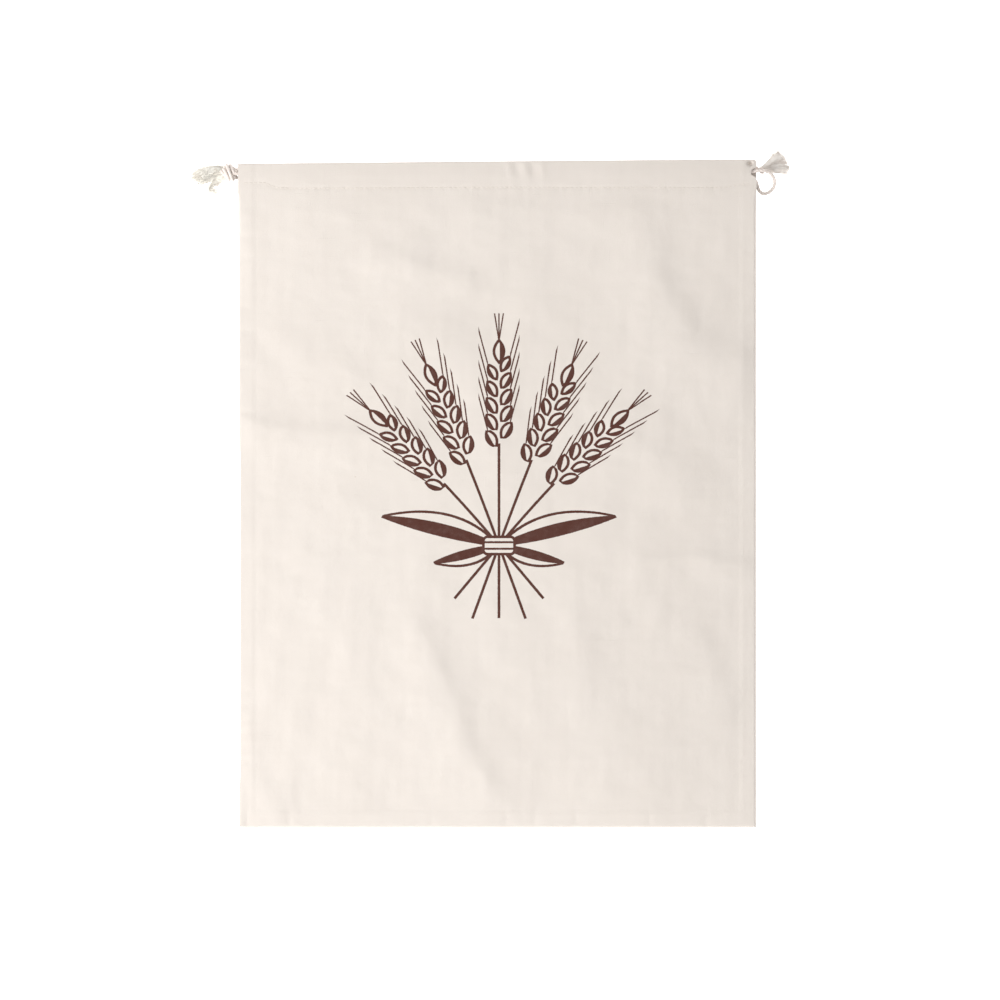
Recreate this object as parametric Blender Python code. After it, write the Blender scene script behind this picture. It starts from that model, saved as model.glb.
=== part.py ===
"""Linen bread bag with two drawstrings, lying flat on its back.

The frame is in metres. The origin is the middle of the bag's underside, +X is to the bag's right as
it is looked at from above, +Y is towards its mouth and +Z is up. Sizes below are in millimetres and
become metres where a mesh is made.
"""

import math
from typing import NamedTuple

import bmesh
import bpy
from mathutils import Vector

MM = 0.001

# The bag
WIDTH = 300.0
HEIGHT = 386.8
TOP_DROP = 2.6  # the left end of the mouth lies this much lower than the right end
CLOTH = 1.0
GAP = 0.3

# The casing, a hem folded to the inside of each panel with a channel for the cords
CORD_DIAMETER = 1.8
CHANNEL = CORD_DIAMETER + 2 * GAP
HALF_CHANNEL = CHANNEL / 2
HALF_CASING = HALF_CHANNEL + CLOTH
CASING_DEPTH = 14.5
CASING_DEEPER = 1.5  # the stitch line drops this much more below the edge at the right end
STRETCH_START = 6.0
SLIT_INSET = 4.0  # the casing's open ends stop this far short of the side seams
SLIT_TOP = 0.9
SLIT_BOTTOM = 17.0
SLIT_ROUNDING = 1.9  # length over which a slit opens at its top
SLIT_CLOSING = 3.8  # length over which it closes at its foot
FOLD_ANGLES = range(-60, 61, 30)
SHARP_ANGLE = math.radians(50)

# Heights above the surface
BACK_MIDDLE = HALF_CASING
FRONT_MIDDLE = 3 * HALF_CASING + GAP
SEAM_LEVEL = CLOTH + GAP
SEAM_RISE = 2.0  # the front panel rises this much beside the seams, over the turned-in edges
SEAM_REACH = 2.4
LOFT = 6.4  # and this much more towards the middle of the bag
LOFT_POWER = 6
MOUTH_GAPE = 5.0
MOUTH_BLEND = 46.0  # length over which the front panel rises to the casing in the middle
SEAM_BLEND = 20.0  # the same at the side seams, which hold the panels together up to the casing
SEAM_HOLD = 60.0

# Spacing of the mesh
EDGE_STEPS = (0.0, 3.0, 8.0, 15.0)
FRONT_SPACING = 11.0
BACK_SPACING = 26.0

# Tassels and knots
LOCK_SEGMENTS = 6
LOCK_TAPER = 0.35
LOCK_THICKNESS = 0.9  # of its width
LOCK_FALL = 2.6  # how soon a lock comes down from the knot to where it lies
KNOT_RINGS = 9
KNOT_SIDES = 16
WRAPS = 3
WRAP_DEPTH = 0.09
CORD_STRAIGHT_STEP = 17.0
CORD_TURN_STEP = math.radians(20)
TANGENT = 0.05  # share of a span that is looked along for its direction


class Outline(NamedTuple):
    """How far the left edge is drawn in at one height above the bottom seam."""

    above: float
    inset: float


class Fold(NamedTuple):
    """A soft fold of the cloth, followed along its crest.

    It rises over a long reach at the right of its route and falls over a shorter one at the left.
    """

    height: float
    rise: float
    fall: float
    route: tuple


class Profile(NamedTuple):
    """A point of the casing's section, by its depth below the fold and its offset from the middle."""

    depth: float
    offset: float


class Lock(NamedTuple):
    """A frayed lock of a tassel: where it lies and how thick it is at its root."""

    base: float
    width: float
    route: tuple


class Finish(NamedTuple):
    """A material's colour and roughness."""

    name: str
    colour: tuple
    roughness: float


LINEN = Finish("natural_linen", (0.84, 0.78, 0.71, 1.0), 0.92)
CORD_COTTON = Finish("cotton_cord", (0.86, 0.80, 0.70, 1.0), 0.88)
FRAYED_COTTON = Finish("frayed_cotton", (0.88, 0.83, 0.74, 1.0), 0.90)

# The casing's section between the fold and the stitch line, where the channel closes
CHANNEL_END = 12.0
LAYER_DEPTHS = (HALF_CASING, 4.6, 8.0)
HEM_SLOPE = (
    (Profile(11.4, HALF_CASING), Profile(11.0, HALF_CHANNEL)),
    (Profile(12.8, 1.1), Profile(12.1, 0.4)),
)
SEWN_DEPTH = 13.7
HEM_WIDTH = 1.7  # what lies below the stitch line of the cloth that is folded in
SEWN = Profile(SEWN_DEPTH, -HALF_CHANNEL)

LEFT_EDGE = (
    Outline(0.0, 0.6),
    Outline(18.0, 0.7),
    Outline(40.0, 1.4),
    Outline(210.0, 1.3),
    Outline(235.0, 0.6),
    Outline(335.0, 0.5),
    Outline(348.0, 0.0),
    Outline(366.0, 0.1),
    Outline(386.8, 0.0),
)

# Main folds of the front panel
FOLDS = (
    Fold(0.45, 18.0, 10.0, ((-123.0, 151.5), (-103.0, 114.0))),
    Fold(0.9, 9.0, 6.0, ((-70.0, 139.0), (-19.0, 123.0))),
    Fold(0.85, 22.0, 14.0, ((-57.0, 113.0), (-11.0, 68.5))),
    Fold(0.9, 22.0, 14.0, ((-3.5, 163.5), (10.0, 137.5), (24.0, 111.5))),
    Fold(1.4, 22.0, 10.0, ((83.0, 153.0), (95.0, 114.0), (111.0, 87.0), (141.0, 75.0))),
    Fold(0.5, 14.0, 8.0, ((-112.0, 85.5), (-83.0, 66.0))),
    Fold(0.85, 12.0, 6.0, ((-147.0, 41.0), (-114.0, 33.5), (-52.0, 34.0))),
    Fold(0.5, 14.0, 8.0, ((71.0, 45.0), (84.0, 24.0), (112.0, 7.0))),
    Fold(0.75, 9.0, 5.0, ((84.0, -40.5), (111.5, -37.0), (147.0, -44.0))),
    Fold(0.45, 12.0, 6.0, ((44.0, -57.0), (50.0, -115.0))),
    Fold(0.9, 17.0, 7.0, ((-45.0, -82.0), (-35.0, -101.5), (-25.0, -124.5), (-17.5, -150.5), (-4.0, -171.0))),
    Fold(0.45, 11.0, 5.5, ((117.0, -80.5), (132.0, -124.0))),
    Fold(0.45, 10.0, 5.5, ((-146.0, -132.5), (-139.5, -161.5), (-127.0, -186.5))),
    Fold(0.65, 24.0, 16.0, ((72.0, -141.0), (84.0, -187.0))),
)

# Routes of the cords, point by point from one tied end to the other
LEFT_CORD_ROUTE = (
    (-153.1, 185.4, 6.3),
    (-149.8, 185.1, 6.9),
    (-145.0, 185.5, 7.35),
    (-128.0, 186.2, 8.8),
    (-104.0, 186.4, 10.26),
    (-70.0, 186.6, 11.4),
    (-30.0, 186.9, 11.86),
    (10.0, 187.2, 11.9),
    (50.0, 187.4, 11.71),
    (90.0, 187.3, 10.82),
    (120.0, 186.7, 9.34),
    (140.0, 186.1, 7.83),
    (146.0, 186.0, 7.3),
    (151.3, 186.9, 7.4),
    (155.8, 186.4, 6.4),
    (159.1, 184.2, 4.2),
    (160.6, 180.9, 2.2),
    (160.0, 177.2, 1.1),
    (157.4, 174.5, 0.95),
    (154.2, 173.6, 0.95),
    (151.7, 175.3, 0.95),
    (150.6, 178.4, 1.5),
    (149.3, 181.3, 2.7),
    (146.0, 183.1, 2.2),
    (140.0, 183.4, 2.2),
    (120.0, 184.4, 2.2),
    (80.0, 186.4, 2.2),
    (30.0, 187.0, 2.2),
    (-30.0, 186.4, 2.2),
    (-80.0, 185.4, 2.2),
    (-120.0, 183.0, 2.2),
    (-140.0, 181.5, 2.2),
    (-146.0, 181.4, 2.2),
    (-149.6, 182.4, 2.2),
    (-152.4, 184.0, 2.4),
)
RIGHT_CORD_ROUTE = (
    (150.7, 188.2, 4.8),
    (149.2, 188.5, 6.2),
    (146.6, 188.7, 7.2),
    (140.0, 188.8, 7.83),
    (120.0, 189.2, 9.34),
    (90.0, 189.7, 10.82),
    (50.0, 189.8, 11.71),
    (10.0, 189.6, 11.9),
    (-30.0, 189.3, 11.86),
    (-70.0, 189.0, 11.4),
    (-104.0, 188.8, 10.26),
    (-128.0, 188.6, 8.8),
    (-140.0, 188.4, 7.83),
    (-145.8, 188.4, 7.35),
    (-149.3, 188.3, 6.6),
    (-150.7, 187.0, 4.6),
    (-149.6, 185.0, 2.8),
    (-146.0, 184.0, 2.2),
    (-140.0, 184.0, 2.2),
    (-120.0, 185.6, 2.2),
    (-80.0, 187.8, 2.2),
    (-30.0, 188.8, 2.2),
    (30.0, 189.4, 2.2),
    (80.0, 189.0, 2.2),
    (120.0, 187.4, 2.2),
    (140.0, 186.6, 2.2),
    (146.0, 186.6, 2.2),
    (150.3, 187.0, 2.4),
)

# Knots: middle and half sizes
LEFT_KNOT = ((-156.6, 186.2, 4.2), (3.7, 5.2, 4.2))
RIGHT_KNOT = ((153.4, 187.3, 2.6), (2.7, 2.6, 2.6))

# Locks of the tassels: the height of the underside, the width at the root and the route in plan
LEFT_LOCKS = (
    Lock(0.0, 2.2, ((-157.0, 189.0), (-163.0, 190.3), (-169.0, 189.6), (-174.2, 187.0))),
    Lock(0.0, 2.1, ((-157.0, 187.6), (-164.0, 187.6), (-170.5, 186.6), (-176.2, 184.0))),
    Lock(0.0, 2.1, ((-157.0, 186.2), (-164.0, 184.9), (-170.5, 183.6), (-176.0, 181.0))),
    Lock(0.0, 2.0, ((-157.0, 184.8), (-163.5, 182.2), (-169.0, 180.5), (-173.5, 178.0))),
    Lock(0.0, 1.9, ((-157.0, 183.4), (-161.0, 180.4), (-164.6, 178.0), (-166.4, 175.2), (-163.6, 174.2))),
    Lock(2.4, 2.0, ((-157.0, 188.0), (-163.0, 189.0), (-168.0, 188.2), (-172.4, 186.0))),
    Lock(2.4, 2.0, ((-157.0, 186.6), (-164.0, 186.2), (-169.4, 184.9), (-173.6, 182.8))),
    Lock(2.4, 1.9, ((-157.0, 185.2), (-163.4, 183.4), (-168.2, 181.8), (-171.4, 180.0))),
    Lock(4.6, 1.9, ((-157.0, 187.0), (-162.4, 187.6), (-166.6, 186.8), (-170.2, 185.2))),
)
RIGHT_LOCKS = (
    Lock(0.0, 1.9, ((154.0, 188.6), (157.0, 192.4), (159.6, 195.6))),
    Lock(0.0, 1.9, ((154.0, 188.3), (158.4, 192.0), (163.0, 196.4))),
    Lock(0.0, 1.9, ((154.0, 188.0), (160.0, 191.4), (165.8, 194.2))),
    Lock(0.0, 1.9, ((154.0, 187.6), (160.6, 189.6), (167.2, 191.2))),
    Lock(0.0, 1.9, ((154.0, 187.2), (160.8, 187.7), (167.8, 188.2))),
    Lock(0.0, 1.8, ((154.0, 186.8), (160.4, 185.6), (166.8, 185.6))),
    Lock(2.2, 1.8, ((154.0, 188.5), (157.6, 192.2), (161.2, 195.2))),
    Lock(2.2, 1.8, ((154.0, 188.1), (159.4, 191.8), (164.2, 193.8))),
    Lock(2.2, 1.8, ((154.0, 187.7), (160.2, 190.2), (165.6, 191.4))),
    Lock(2.2, 1.8, ((154.0, 187.3), (160.4, 188.4), (166.0, 188.9))),
)


def smooth(value):
    """Goes from 0 to 1 with no kink as the value does."""
    value = min(1.0, max(0.0, value))
    return value * value * (3.0 - 2.0 * value)


def left_waver(above):
    """How far the left edge is drawn in at one height above the bottom seam."""
    for low, high in zip(LEFT_EDGE, LEFT_EDGE[1:]):
        if above <= high.above:
            share = max(0.0, (above - low.above) / (high.above - low.above))
            return low.inset + (high.inset - low.inset) * share
    return LEFT_EDGE[-1].inset


def top_edge(x):
    """The height of the mouth's fold in the plan."""
    return HEIGHT / 2 - TOP_DROP * (WIDTH / 2 - x) / WIDTH


def slit_inset(depth):
    """How far the casing's open ends are drawn in at one depth below the fold."""
    starting = smooth((depth - SLIT_TOP) / SLIT_ROUNDING)
    return SLIT_INSET * starting * smooth((SLIT_BOTTOM - depth) / SLIT_CLOSING)


def plan_x(share, y):
    """A place across the bag, with the left edge's waver and the slits at the casing's ends."""
    waver = left_waver(y + HEIGHT / 2)
    left = -WIDTH / 2 + max(waver, slit_inset(top_edge(-WIDTH / 2) - y))
    right = WIDTH / 2 - slit_inset(top_edge(WIDTH / 2) - y)
    return left + (right - left) * share


def gape(x):
    """How far the front casing stands off the back one."""
    return MOUTH_GAPE * (1.0 - abs(2 * x / WIDTH) ** 3)


def beside(x, y, start, end):
    """How far a place is from a line, and on which side: 1 at its left, -1 at its right."""
    along_x, along_y = end[0] - start[0], end[1] - start[1]
    length = math.hypot(along_x, along_y)
    share = ((x - start[0]) * along_x + (y - start[1]) * along_y) / length**2
    inside = min(1.0, max(0.0, share))
    off_x, off_y = x - start[0] - inside * along_x, y - start[1] - inside * along_y
    away = math.hypot(off_x, off_y)
    side = (along_x * off_y - along_y * off_x) / length / away if away else 0.0
    return away, side


def fold_height(x, y):
    """The sum of all folds at one place of the front panel."""
    total = 0.0
    for fold in FOLDS:
        away, side = min(beside(x, y, *span) for span in zip(fold.route, fold.route[1:]))
        reach = (fold.fall + fold.rise + side * (fold.fall - fold.rise)) / 2
        total += fold.height * math.exp(-((away / reach) ** 2))
    return total


def front_level(x, y):
    """The height of the front panel's underside."""
    side = WIDTH / 2 - abs(x)
    bottom = y + HEIGHT / 2
    free = (1.0 - math.exp(-side / SEAM_REACH)) * (1.0 - math.exp(-bottom / SEAM_REACH))
    arch = (1.0 - (2 * x / WIDTH) ** 2) * (1.0 - min(0.0, 2 * y / HEIGHT) ** LOFT_POWER)
    lying = SEAM_LEVEL + free * (SEAM_RISE + fold_height(x, y)) + LOFT * arch
    casing = FRONT_MIDDLE + HALF_CHANNEL + gape(x)
    below = top_edge(x) - CASING_DEPTH - y
    blend = SEAM_BLEND + (MOUTH_BLEND - SEAM_BLEND) * smooth(side / SEAM_HOLD)
    return lying + (casing - lying) * smooth(1.0 - below / blend)


def back_level(x, y):
    """The height of the back panel's underside, which lies on the surface."""
    return 0.0


def spread(length, spacing, both_ends):
    """Places along a length, close together near its seams and evenly spaced between them."""
    start = list(EDGE_STEPS)
    end = [length - step for step in reversed(EDGE_STEPS)] if both_ends else [length]
    count = max(2, round((end[0] - start[-1]) / spacing))
    middle = [start[-1] + (end[0] - start[-1]) * i / count for i in range(1, count)]
    return [place / length for place in start + middle + end]


def casing_profile():
    """The casing's outer and inner points in pairs, from its outer layer round the fold to the hem."""
    outer, inner = [], []
    for depth in (CHANNEL_END, *reversed(LAYER_DEPTHS)):
        outer.append(Profile(depth, -HALF_CASING))
        inner.append(Profile(depth, -HALF_CHANNEL))
    for angle in FOLD_ANGLES:
        turned = math.radians(angle)
        for points, radius in ((outer, HALF_CASING), (inner, HALF_CHANNEL)):
            depth = HALF_CASING - radius * math.cos(turned)
            points.append(Profile(depth, radius * math.sin(turned)))
    for depth in LAYER_DEPTHS:
        outer.append(Profile(depth, HALF_CASING))
        inner.append(Profile(depth, HALF_CHANNEL))
    for pair in HEM_SLOPE:
        outer.append(pair[0])
        inner.append(pair[1])
    for depth in (SEWN_DEPTH + HEM_WIDTH / 4, SEWN_DEPTH + HEM_WIDTH):
        outer.append(Profile(depth, CLOTH - HALF_CHANNEL))
        inner.append(SEWN)
    return outer, inner


def panel_mesh(name, level, middle, facing, spacing):
    """A sheet whose top is folded over into a casing, as one closed mesh.

    level gives the height of the sheet's underside, middle the height of the channel, and facing is 1
    where the hem lies above the sheet and -1 where it lies below.
    """
    across = spread(WIDTH, spacing, True)
    up = spread(HEIGHT - CASING_DEPTH - 1.0, spacing, False)
    outer, inner = casing_profile()
    mesh = bmesh.new()

    def sheet_row(share, lifted):
        row = []
        for place in across:
            x = plan_x(place, 0.0)
            hem = top_edge(x) - casing_depth(x, CASING_DEPTH + 1.0)
            y = -HEIGHT / 2 + share * (hem + HEIGHT / 2)
            x = plan_x(place, y)
            row.append(mesh.verts.new(Vector((x, y, level(x, y) + lifted)) * MM))
        return row

    def casing_row(point):
        row = []
        for place in across:
            x = plan_x(place, 0.0)
            y = top_edge(x) - casing_depth(x, point.depth)
            x = plan_x(place, y)
            row.append(mesh.verts.new(Vector((x, y, middle(x) + facing * point.offset)) * MM))
        return row

    outside_first = facing > 0
    outside = [sheet_row(share, 0.0 if outside_first else CLOTH) for share in up]
    inside = [sheet_row(share, CLOTH if outside_first else 0.0) for share in up]
    ring = [outside[-1]] + [casing_row(point) for point in outer] + [inside[-1]]
    seam = casing_row(SEWN)
    channel = [seam] + [seam if p is SEWN else casing_row(p) for p in inner] + [seam]

    def band(low, high):
        for a, b, c, d in zip(low, low[1:], high[1:], high):
            mesh.faces.new((a, b, c, d))

    loop = outside + ring[1:-1] + inside[::-1]
    for low, high in zip(loop, loop[1:] + loop[:1]):
        band(low, high)
    hollow = [seam] + [row for row in channel if row is not seam]
    for low, high in zip(hollow, hollow[1:] + hollow[:1]):
        band(low, high)
    for end in (0, -1):
        for i in range(len(up) - 1):
            mesh.faces.new((outside[i][end], outside[i + 1][end], inside[i + 1][end], inside[i][end]))
        mesh.faces.new((outside[-1][end], seam[end], inside[-1][end]))
        for i in range(len(ring) - 1):
            corners = [ring[i][end], ring[i + 1][end], channel[i + 1][end], channel[i][end]]
            mesh.faces.new(list(dict.fromkeys(corners)))
    bmesh.ops.recalc_face_normals(mesh, faces=mesh.faces)
    return finished(name, mesh, LINEN)


def casing_depth(x, depth):
    """A depth below the fold, stretched towards the right as the stitch line drops."""
    share = (x + WIDTH / 2) / WIDTH
    stretched = (depth - STRETCH_START) / (CASING_DEPTH - STRETCH_START)
    return depth + CASING_DEEPER * share * min(1.0, max(0.0, stretched))


def finished(name, mesh, finish):
    """Makes an object of a mesh, shaded smooth, with its own material."""
    data = bpy.data.meshes.new(name)
    mesh.to_mesh(data)
    mesh.free()
    data.shade_smooth()
    data.set_sharp_from_angle(angle=SHARP_ANGLE)
    made = bpy.data.objects.new(name, data)
    bpy.context.collection.objects.link(made)
    data.materials.append(material(name, finish))
    return made


def material(name, finish):
    """A plain material in the colour of its cloth or yarn."""
    made = bpy.data.materials.new(f"{name}_{finish.name}")
    made.use_nodes = True
    shader = made.node_tree.nodes["Principled BSDF"]
    shader.inputs["Base Color"].default_value = finish.colour
    shader.inputs["Roughness"].default_value = finish.roughness
    shader.inputs["Metallic"].default_value = 0.0
    return made


def curved(points, share, index):
    """A place on the smooth curve through the points, between two of them."""
    a = points[max(0, index - 1)]
    b, c = points[index], points[index + 1]
    d = points[min(len(points) - 1, index + 2)]
    before, after = (c - a) * 0.5, (d - b) * 0.5
    s, s2, s3 = share, share**2, share**3
    whole = b * (2 * s3 - 3 * s2 + 1) + c * (3 * s2 - 2 * s3)
    return whole + before * (s3 - 2 * s2 + s) + after * (s3 - s2)


def smooth_route(route):
    """Points along a smooth curve through a route's own points, closer together where it bends."""
    points = [Vector(point) for point in route]
    steps = []
    for i in range(len(points) - 1):
        reach = points[i + 1] - points[i]
        before = reach.angle(points[i] - points[i - 1]) if i else 0.0
        after = reach.angle(points[i + 2] - points[i + 1]) if i + 2 < len(points) else 0.0
        turns = (before + after) / 2 / CORD_TURN_STEP
        count = max(1, round(turns), math.ceil(reach.length / CORD_STRAIGHT_STEP))
        steps += [curved(points, k / count, i) for k in range(count)]
    return steps + [points[-1]]


def cord(name, route):
    """A drawstring as a round tube along its route."""
    points = smooth_route(route)
    data = bpy.data.curves.new(name, "CURVE")
    data.dimensions = "3D"
    data.bevel_depth = CORD_DIAMETER / 2 * MM
    data.bevel_resolution = 2
    data.use_fill_caps = True
    spline = data.splines.new("POLY")
    spline.points.add(len(points) - 1)
    for target, point in zip(spline.points, points):
        target.co = (*(point * MM), 1.0)
    data.materials.append(material(name, CORD_COTTON))
    made = bpy.data.objects.new(name, data)
    bpy.context.collection.objects.link(made)
    return made


def knot_mesh(centre, half, slant):
    """A lumpy round knot with the cord's wraps showing as slanting ridges."""
    mesh = bmesh.new()
    middle, rings = Vector(centre), []
    for i in range(1, KNOT_RINGS):
        polar = math.pi * i / KNOT_RINGS
        ring = []
        for j in range(KNOT_SIDES):
            angle = 2 * math.pi * j / KNOT_SIDES
            swell = 1.0 - WRAP_DEPTH * (1.0 + math.cos(WRAPS * angle + slant * polar * 2)) / 2
            around = math.sin(polar)
            away = (math.cos(polar), around * math.cos(angle), around * math.sin(angle))
            place = middle + Vector([h * a * swell for h, a in zip(half, away)])
            ring.append(mesh.verts.new(place * MM))
        rings.append(ring)
    poles = [mesh.verts.new((middle + Vector((half[0] * sign, 0, 0))) * MM) for sign in (1, -1)]
    for low, high in zip(rings, rings[1:]):
        for j in range(KNOT_SIDES):
            k = (j + 1) % KNOT_SIDES
            mesh.faces.new((low[j], low[k], high[k], high[j]))
    for pole, ring in zip(poles, (rings[0], rings[-1])):
        for j in range(KNOT_SIDES):
            mesh.faces.new((pole, ring[j], ring[(j + 1) % KNOT_SIDES]))
    bmesh.ops.recalc_face_normals(mesh, faces=mesh.faces)
    return mesh


def lock_mesh(lock, root_height):
    """A four-sided lock that leaves the knot and lies level along its route."""
    points = [Vector((*place, 0.0)) for place in lock.route]
    spans = len(points) - 1
    mesh, rows = bmesh.new(), []
    for step in range(LOCK_SEGMENTS + 1):
        share = step / LOCK_SEGMENTS
        index = min(spans - 1, int(share * spans))
        place = curved(points, share * spans - index, index)
        ahead = curved(points, min(1.0, share * spans - index + TANGENT), index)
        behind = curved(points, max(0.0, share * spans - index - TANGENT), index)
        aside = (ahead - behind).cross(Vector((0, 0, 1))).normalized()
        width = lock.width * (1.0 - LOCK_TAPER * share)
        low = lock.base + max(0.0, root_height - lock.base) / 2 * (1.0 - smooth(share * LOCK_FALL))
        row = []
        for side, up in ((-1, 0), (1, 0), (1, 1), (-1, 1)):
            corner = place + aside * side * width / 2
            corner.z = low + up * width * LOCK_THICKNESS
            row.append(mesh.verts.new(corner * MM))
        rows.append(row)
    for low_row, high_row in zip(rows, rows[1:]):
        for j in range(4):
            k = (j + 1) % 4
            mesh.faces.new((low_row[j], low_row[k], high_row[k], high_row[j]))
    mesh.faces.new(rows[0])
    mesh.faces.new(rows[-1])
    bmesh.ops.recalc_face_normals(mesh, faces=mesh.faces)
    return mesh


def tassel(name, knot, locks, slant):
    """A knot with its frayed ends, grown together at their roots."""
    centre, half = knot
    made = finished(name, knot_mesh(centre, half, slant), FRAYED_COTTON)
    for number, lock in enumerate(locks, 1):
        strand = finished(f"{name}_lock_{number}", lock_mesh(lock, centre[2]), FRAYED_COTTON)
        strand.hide_render = True
        strand.display_type = "WIRE"
        joined = made.modifiers.new(f"lock_{number}", "BOOLEAN")
        joined.operation = "UNION"
        joined.solver = "EXACT"
        joined.object = strand
    return made


def main():
    """Builds the bag from its two panels, two cords and two tassels."""
    for old in list(bpy.data.objects):
        bpy.data.objects.remove(old, do_unlink=True)
    panel_mesh("back_panel", back_level, lambda x: BACK_MIDDLE, 1, BACK_SPACING)
    panel_mesh("front_panel", front_level, lambda x: FRONT_MIDDLE + gape(x), -1, FRONT_SPACING)
    cord("drawstring_left", LEFT_CORD_ROUTE)
    cord("drawstring_right", RIGHT_CORD_ROUTE)
    tassel("tassel_left", LEFT_KNOT, LEFT_LOCKS, 1)
    tassel("tassel_right", RIGHT_KNOT, RIGHT_LOCKS, -1)


main()
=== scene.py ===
"""The looks of a linen bread bag that lies on its back: cloth, seams, print, cords and tassels.

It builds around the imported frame. Sizes are in millimetres until a mesh or a material is made, in the
frame's own axes: +X to the bag's right, +Y towards its mouth, +Z up, with the floor at 0.
"""

import logging
import math
from collections.abc import Callable, Sequence
from dataclasses import dataclass, field
from enum import Enum

import bmesh
import bpy
import numpy as np
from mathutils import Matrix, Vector


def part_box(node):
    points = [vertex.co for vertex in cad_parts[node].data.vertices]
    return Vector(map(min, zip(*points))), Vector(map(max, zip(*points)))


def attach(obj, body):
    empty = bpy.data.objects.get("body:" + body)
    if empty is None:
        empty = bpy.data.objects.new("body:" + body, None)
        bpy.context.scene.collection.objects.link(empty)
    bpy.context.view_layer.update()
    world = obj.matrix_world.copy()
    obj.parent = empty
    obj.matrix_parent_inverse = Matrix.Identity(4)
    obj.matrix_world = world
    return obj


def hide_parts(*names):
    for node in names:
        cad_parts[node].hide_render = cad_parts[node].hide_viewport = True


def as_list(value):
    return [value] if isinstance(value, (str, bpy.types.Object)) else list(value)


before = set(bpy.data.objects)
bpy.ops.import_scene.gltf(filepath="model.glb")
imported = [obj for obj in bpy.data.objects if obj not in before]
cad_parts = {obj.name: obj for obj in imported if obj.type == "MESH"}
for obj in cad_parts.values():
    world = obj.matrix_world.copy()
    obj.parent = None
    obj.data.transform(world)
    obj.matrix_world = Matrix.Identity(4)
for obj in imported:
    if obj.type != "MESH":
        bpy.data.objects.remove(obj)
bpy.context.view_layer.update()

MM = 0.001
BODY = "root"
log = logging.getLogger("bread_bag")


class Facing(Enum):
    """Which way a panel's outer side looks."""

    FRONT = 1
    BACK = -1


class Hand(Enum):
    """The side of the bag that a cord is tied at."""

    LEFT = "left"
    RIGHT = "right"


@dataclass(frozen=True)
class Fold:
    """A soft fold of the cloth, followed along its crest.

    It rises over a long reach at the right of its route and falls over a shorter one at the left.
    """

    height: float
    rise: float
    fall: float
    route: tuple

    def lift(self, x: np.ndarray, y: np.ndarray) -> np.ndarray:
        """Tells how far the fold lifts the cloth at each place.

        Args:
            x: Places across the bag.
            y: Places up the bag.

        Returns:
            The lift at each place.
        """
        nearest = np.full(np.broadcast(x, y).shape, np.inf)
        side = np.zeros_like(nearest)
        for (x0, y0), (x1, y1) in zip(self.route, self.route[1:]):
            along_x, along_y = x1 - x0, y1 - y0
            length = math.hypot(along_x, along_y)
            share = np.clip(((x - x0) * along_x + (y - y0) * along_y) / length**2, 0.0, 1.0)
            off_x, off_y = x - x0 - share * along_x, y - y0 - share * along_y
            away = np.hypot(off_x, off_y)
            beside = (along_x * off_y - along_y * off_x) / length / np.maximum(away, 1e-9)
            side = np.where(away < nearest, beside, side)
            nearest = np.minimum(away, nearest)
        reach = (self.fall + self.rise + side * (self.fall - self.rise)) / 2.0
        return self.height * np.exp(-((nearest / reach) ** 2))

    def broadened(self, share: float) -> "Fold":
        """Makes a broad, soft fold on the same route, of a share of its height."""
        return Fold(self.height * share, self.rise * 1.3, self.fall * 1.9, self.route)


MAIN_FOLDS = (
    Fold(0.45, 18.0, 10.0, ((-123.0, 151.5), (-103.0, 114.0))),
    Fold(0.9, 9.0, 6.0, ((-70.0, 139.0), (-19.0, 123.0))),
    Fold(0.85, 22.0, 14.0, ((-57.0, 113.0), (-11.0, 68.5))),
    Fold(0.9, 22.0, 14.0, ((-3.5, 163.5), (10.0, 137.5), (24.0, 111.5))),
    Fold(1.4, 22.0, 10.0, ((83.0, 153.0), (95.0, 114.0), (111.0, 87.0), (141.0, 75.0))),
    Fold(0.5, 14.0, 8.0, ((-112.0, 85.5), (-83.0, 66.0))),
    Fold(0.85, 12.0, 6.0, ((-147.0, 41.0), (-114.0, 33.5), (-52.0, 34.0))),
    Fold(0.5, 14.0, 8.0, ((71.0, 45.0), (84.0, 24.0), (112.0, 7.0))),
    Fold(0.75, 9.0, 5.0, ((84.0, -40.5), (111.5, -37.0), (147.0, -44.0))),
    Fold(0.45, 12.0, 6.0, ((44.0, -57.0), (50.0, -115.0))),
    Fold(0.9, 17.0, 7.0, ((-45.0, -82.0), (-35.0, -101.5), (-25.0, -124.5), (-17.5, -150.5), (-4.0, -171.0))),
    Fold(0.45, 11.0, 5.5, ((117.0, -80.5), (132.0, -124.0))),
    Fold(0.45, 10.0, 5.5, ((-146.0, -132.5), (-139.5, -161.5), (-127.0, -186.5))),
    Fold(0.65, 24.0, 16.0, ((72.0, -141.0), (84.0, -187.0))),
)

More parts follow.
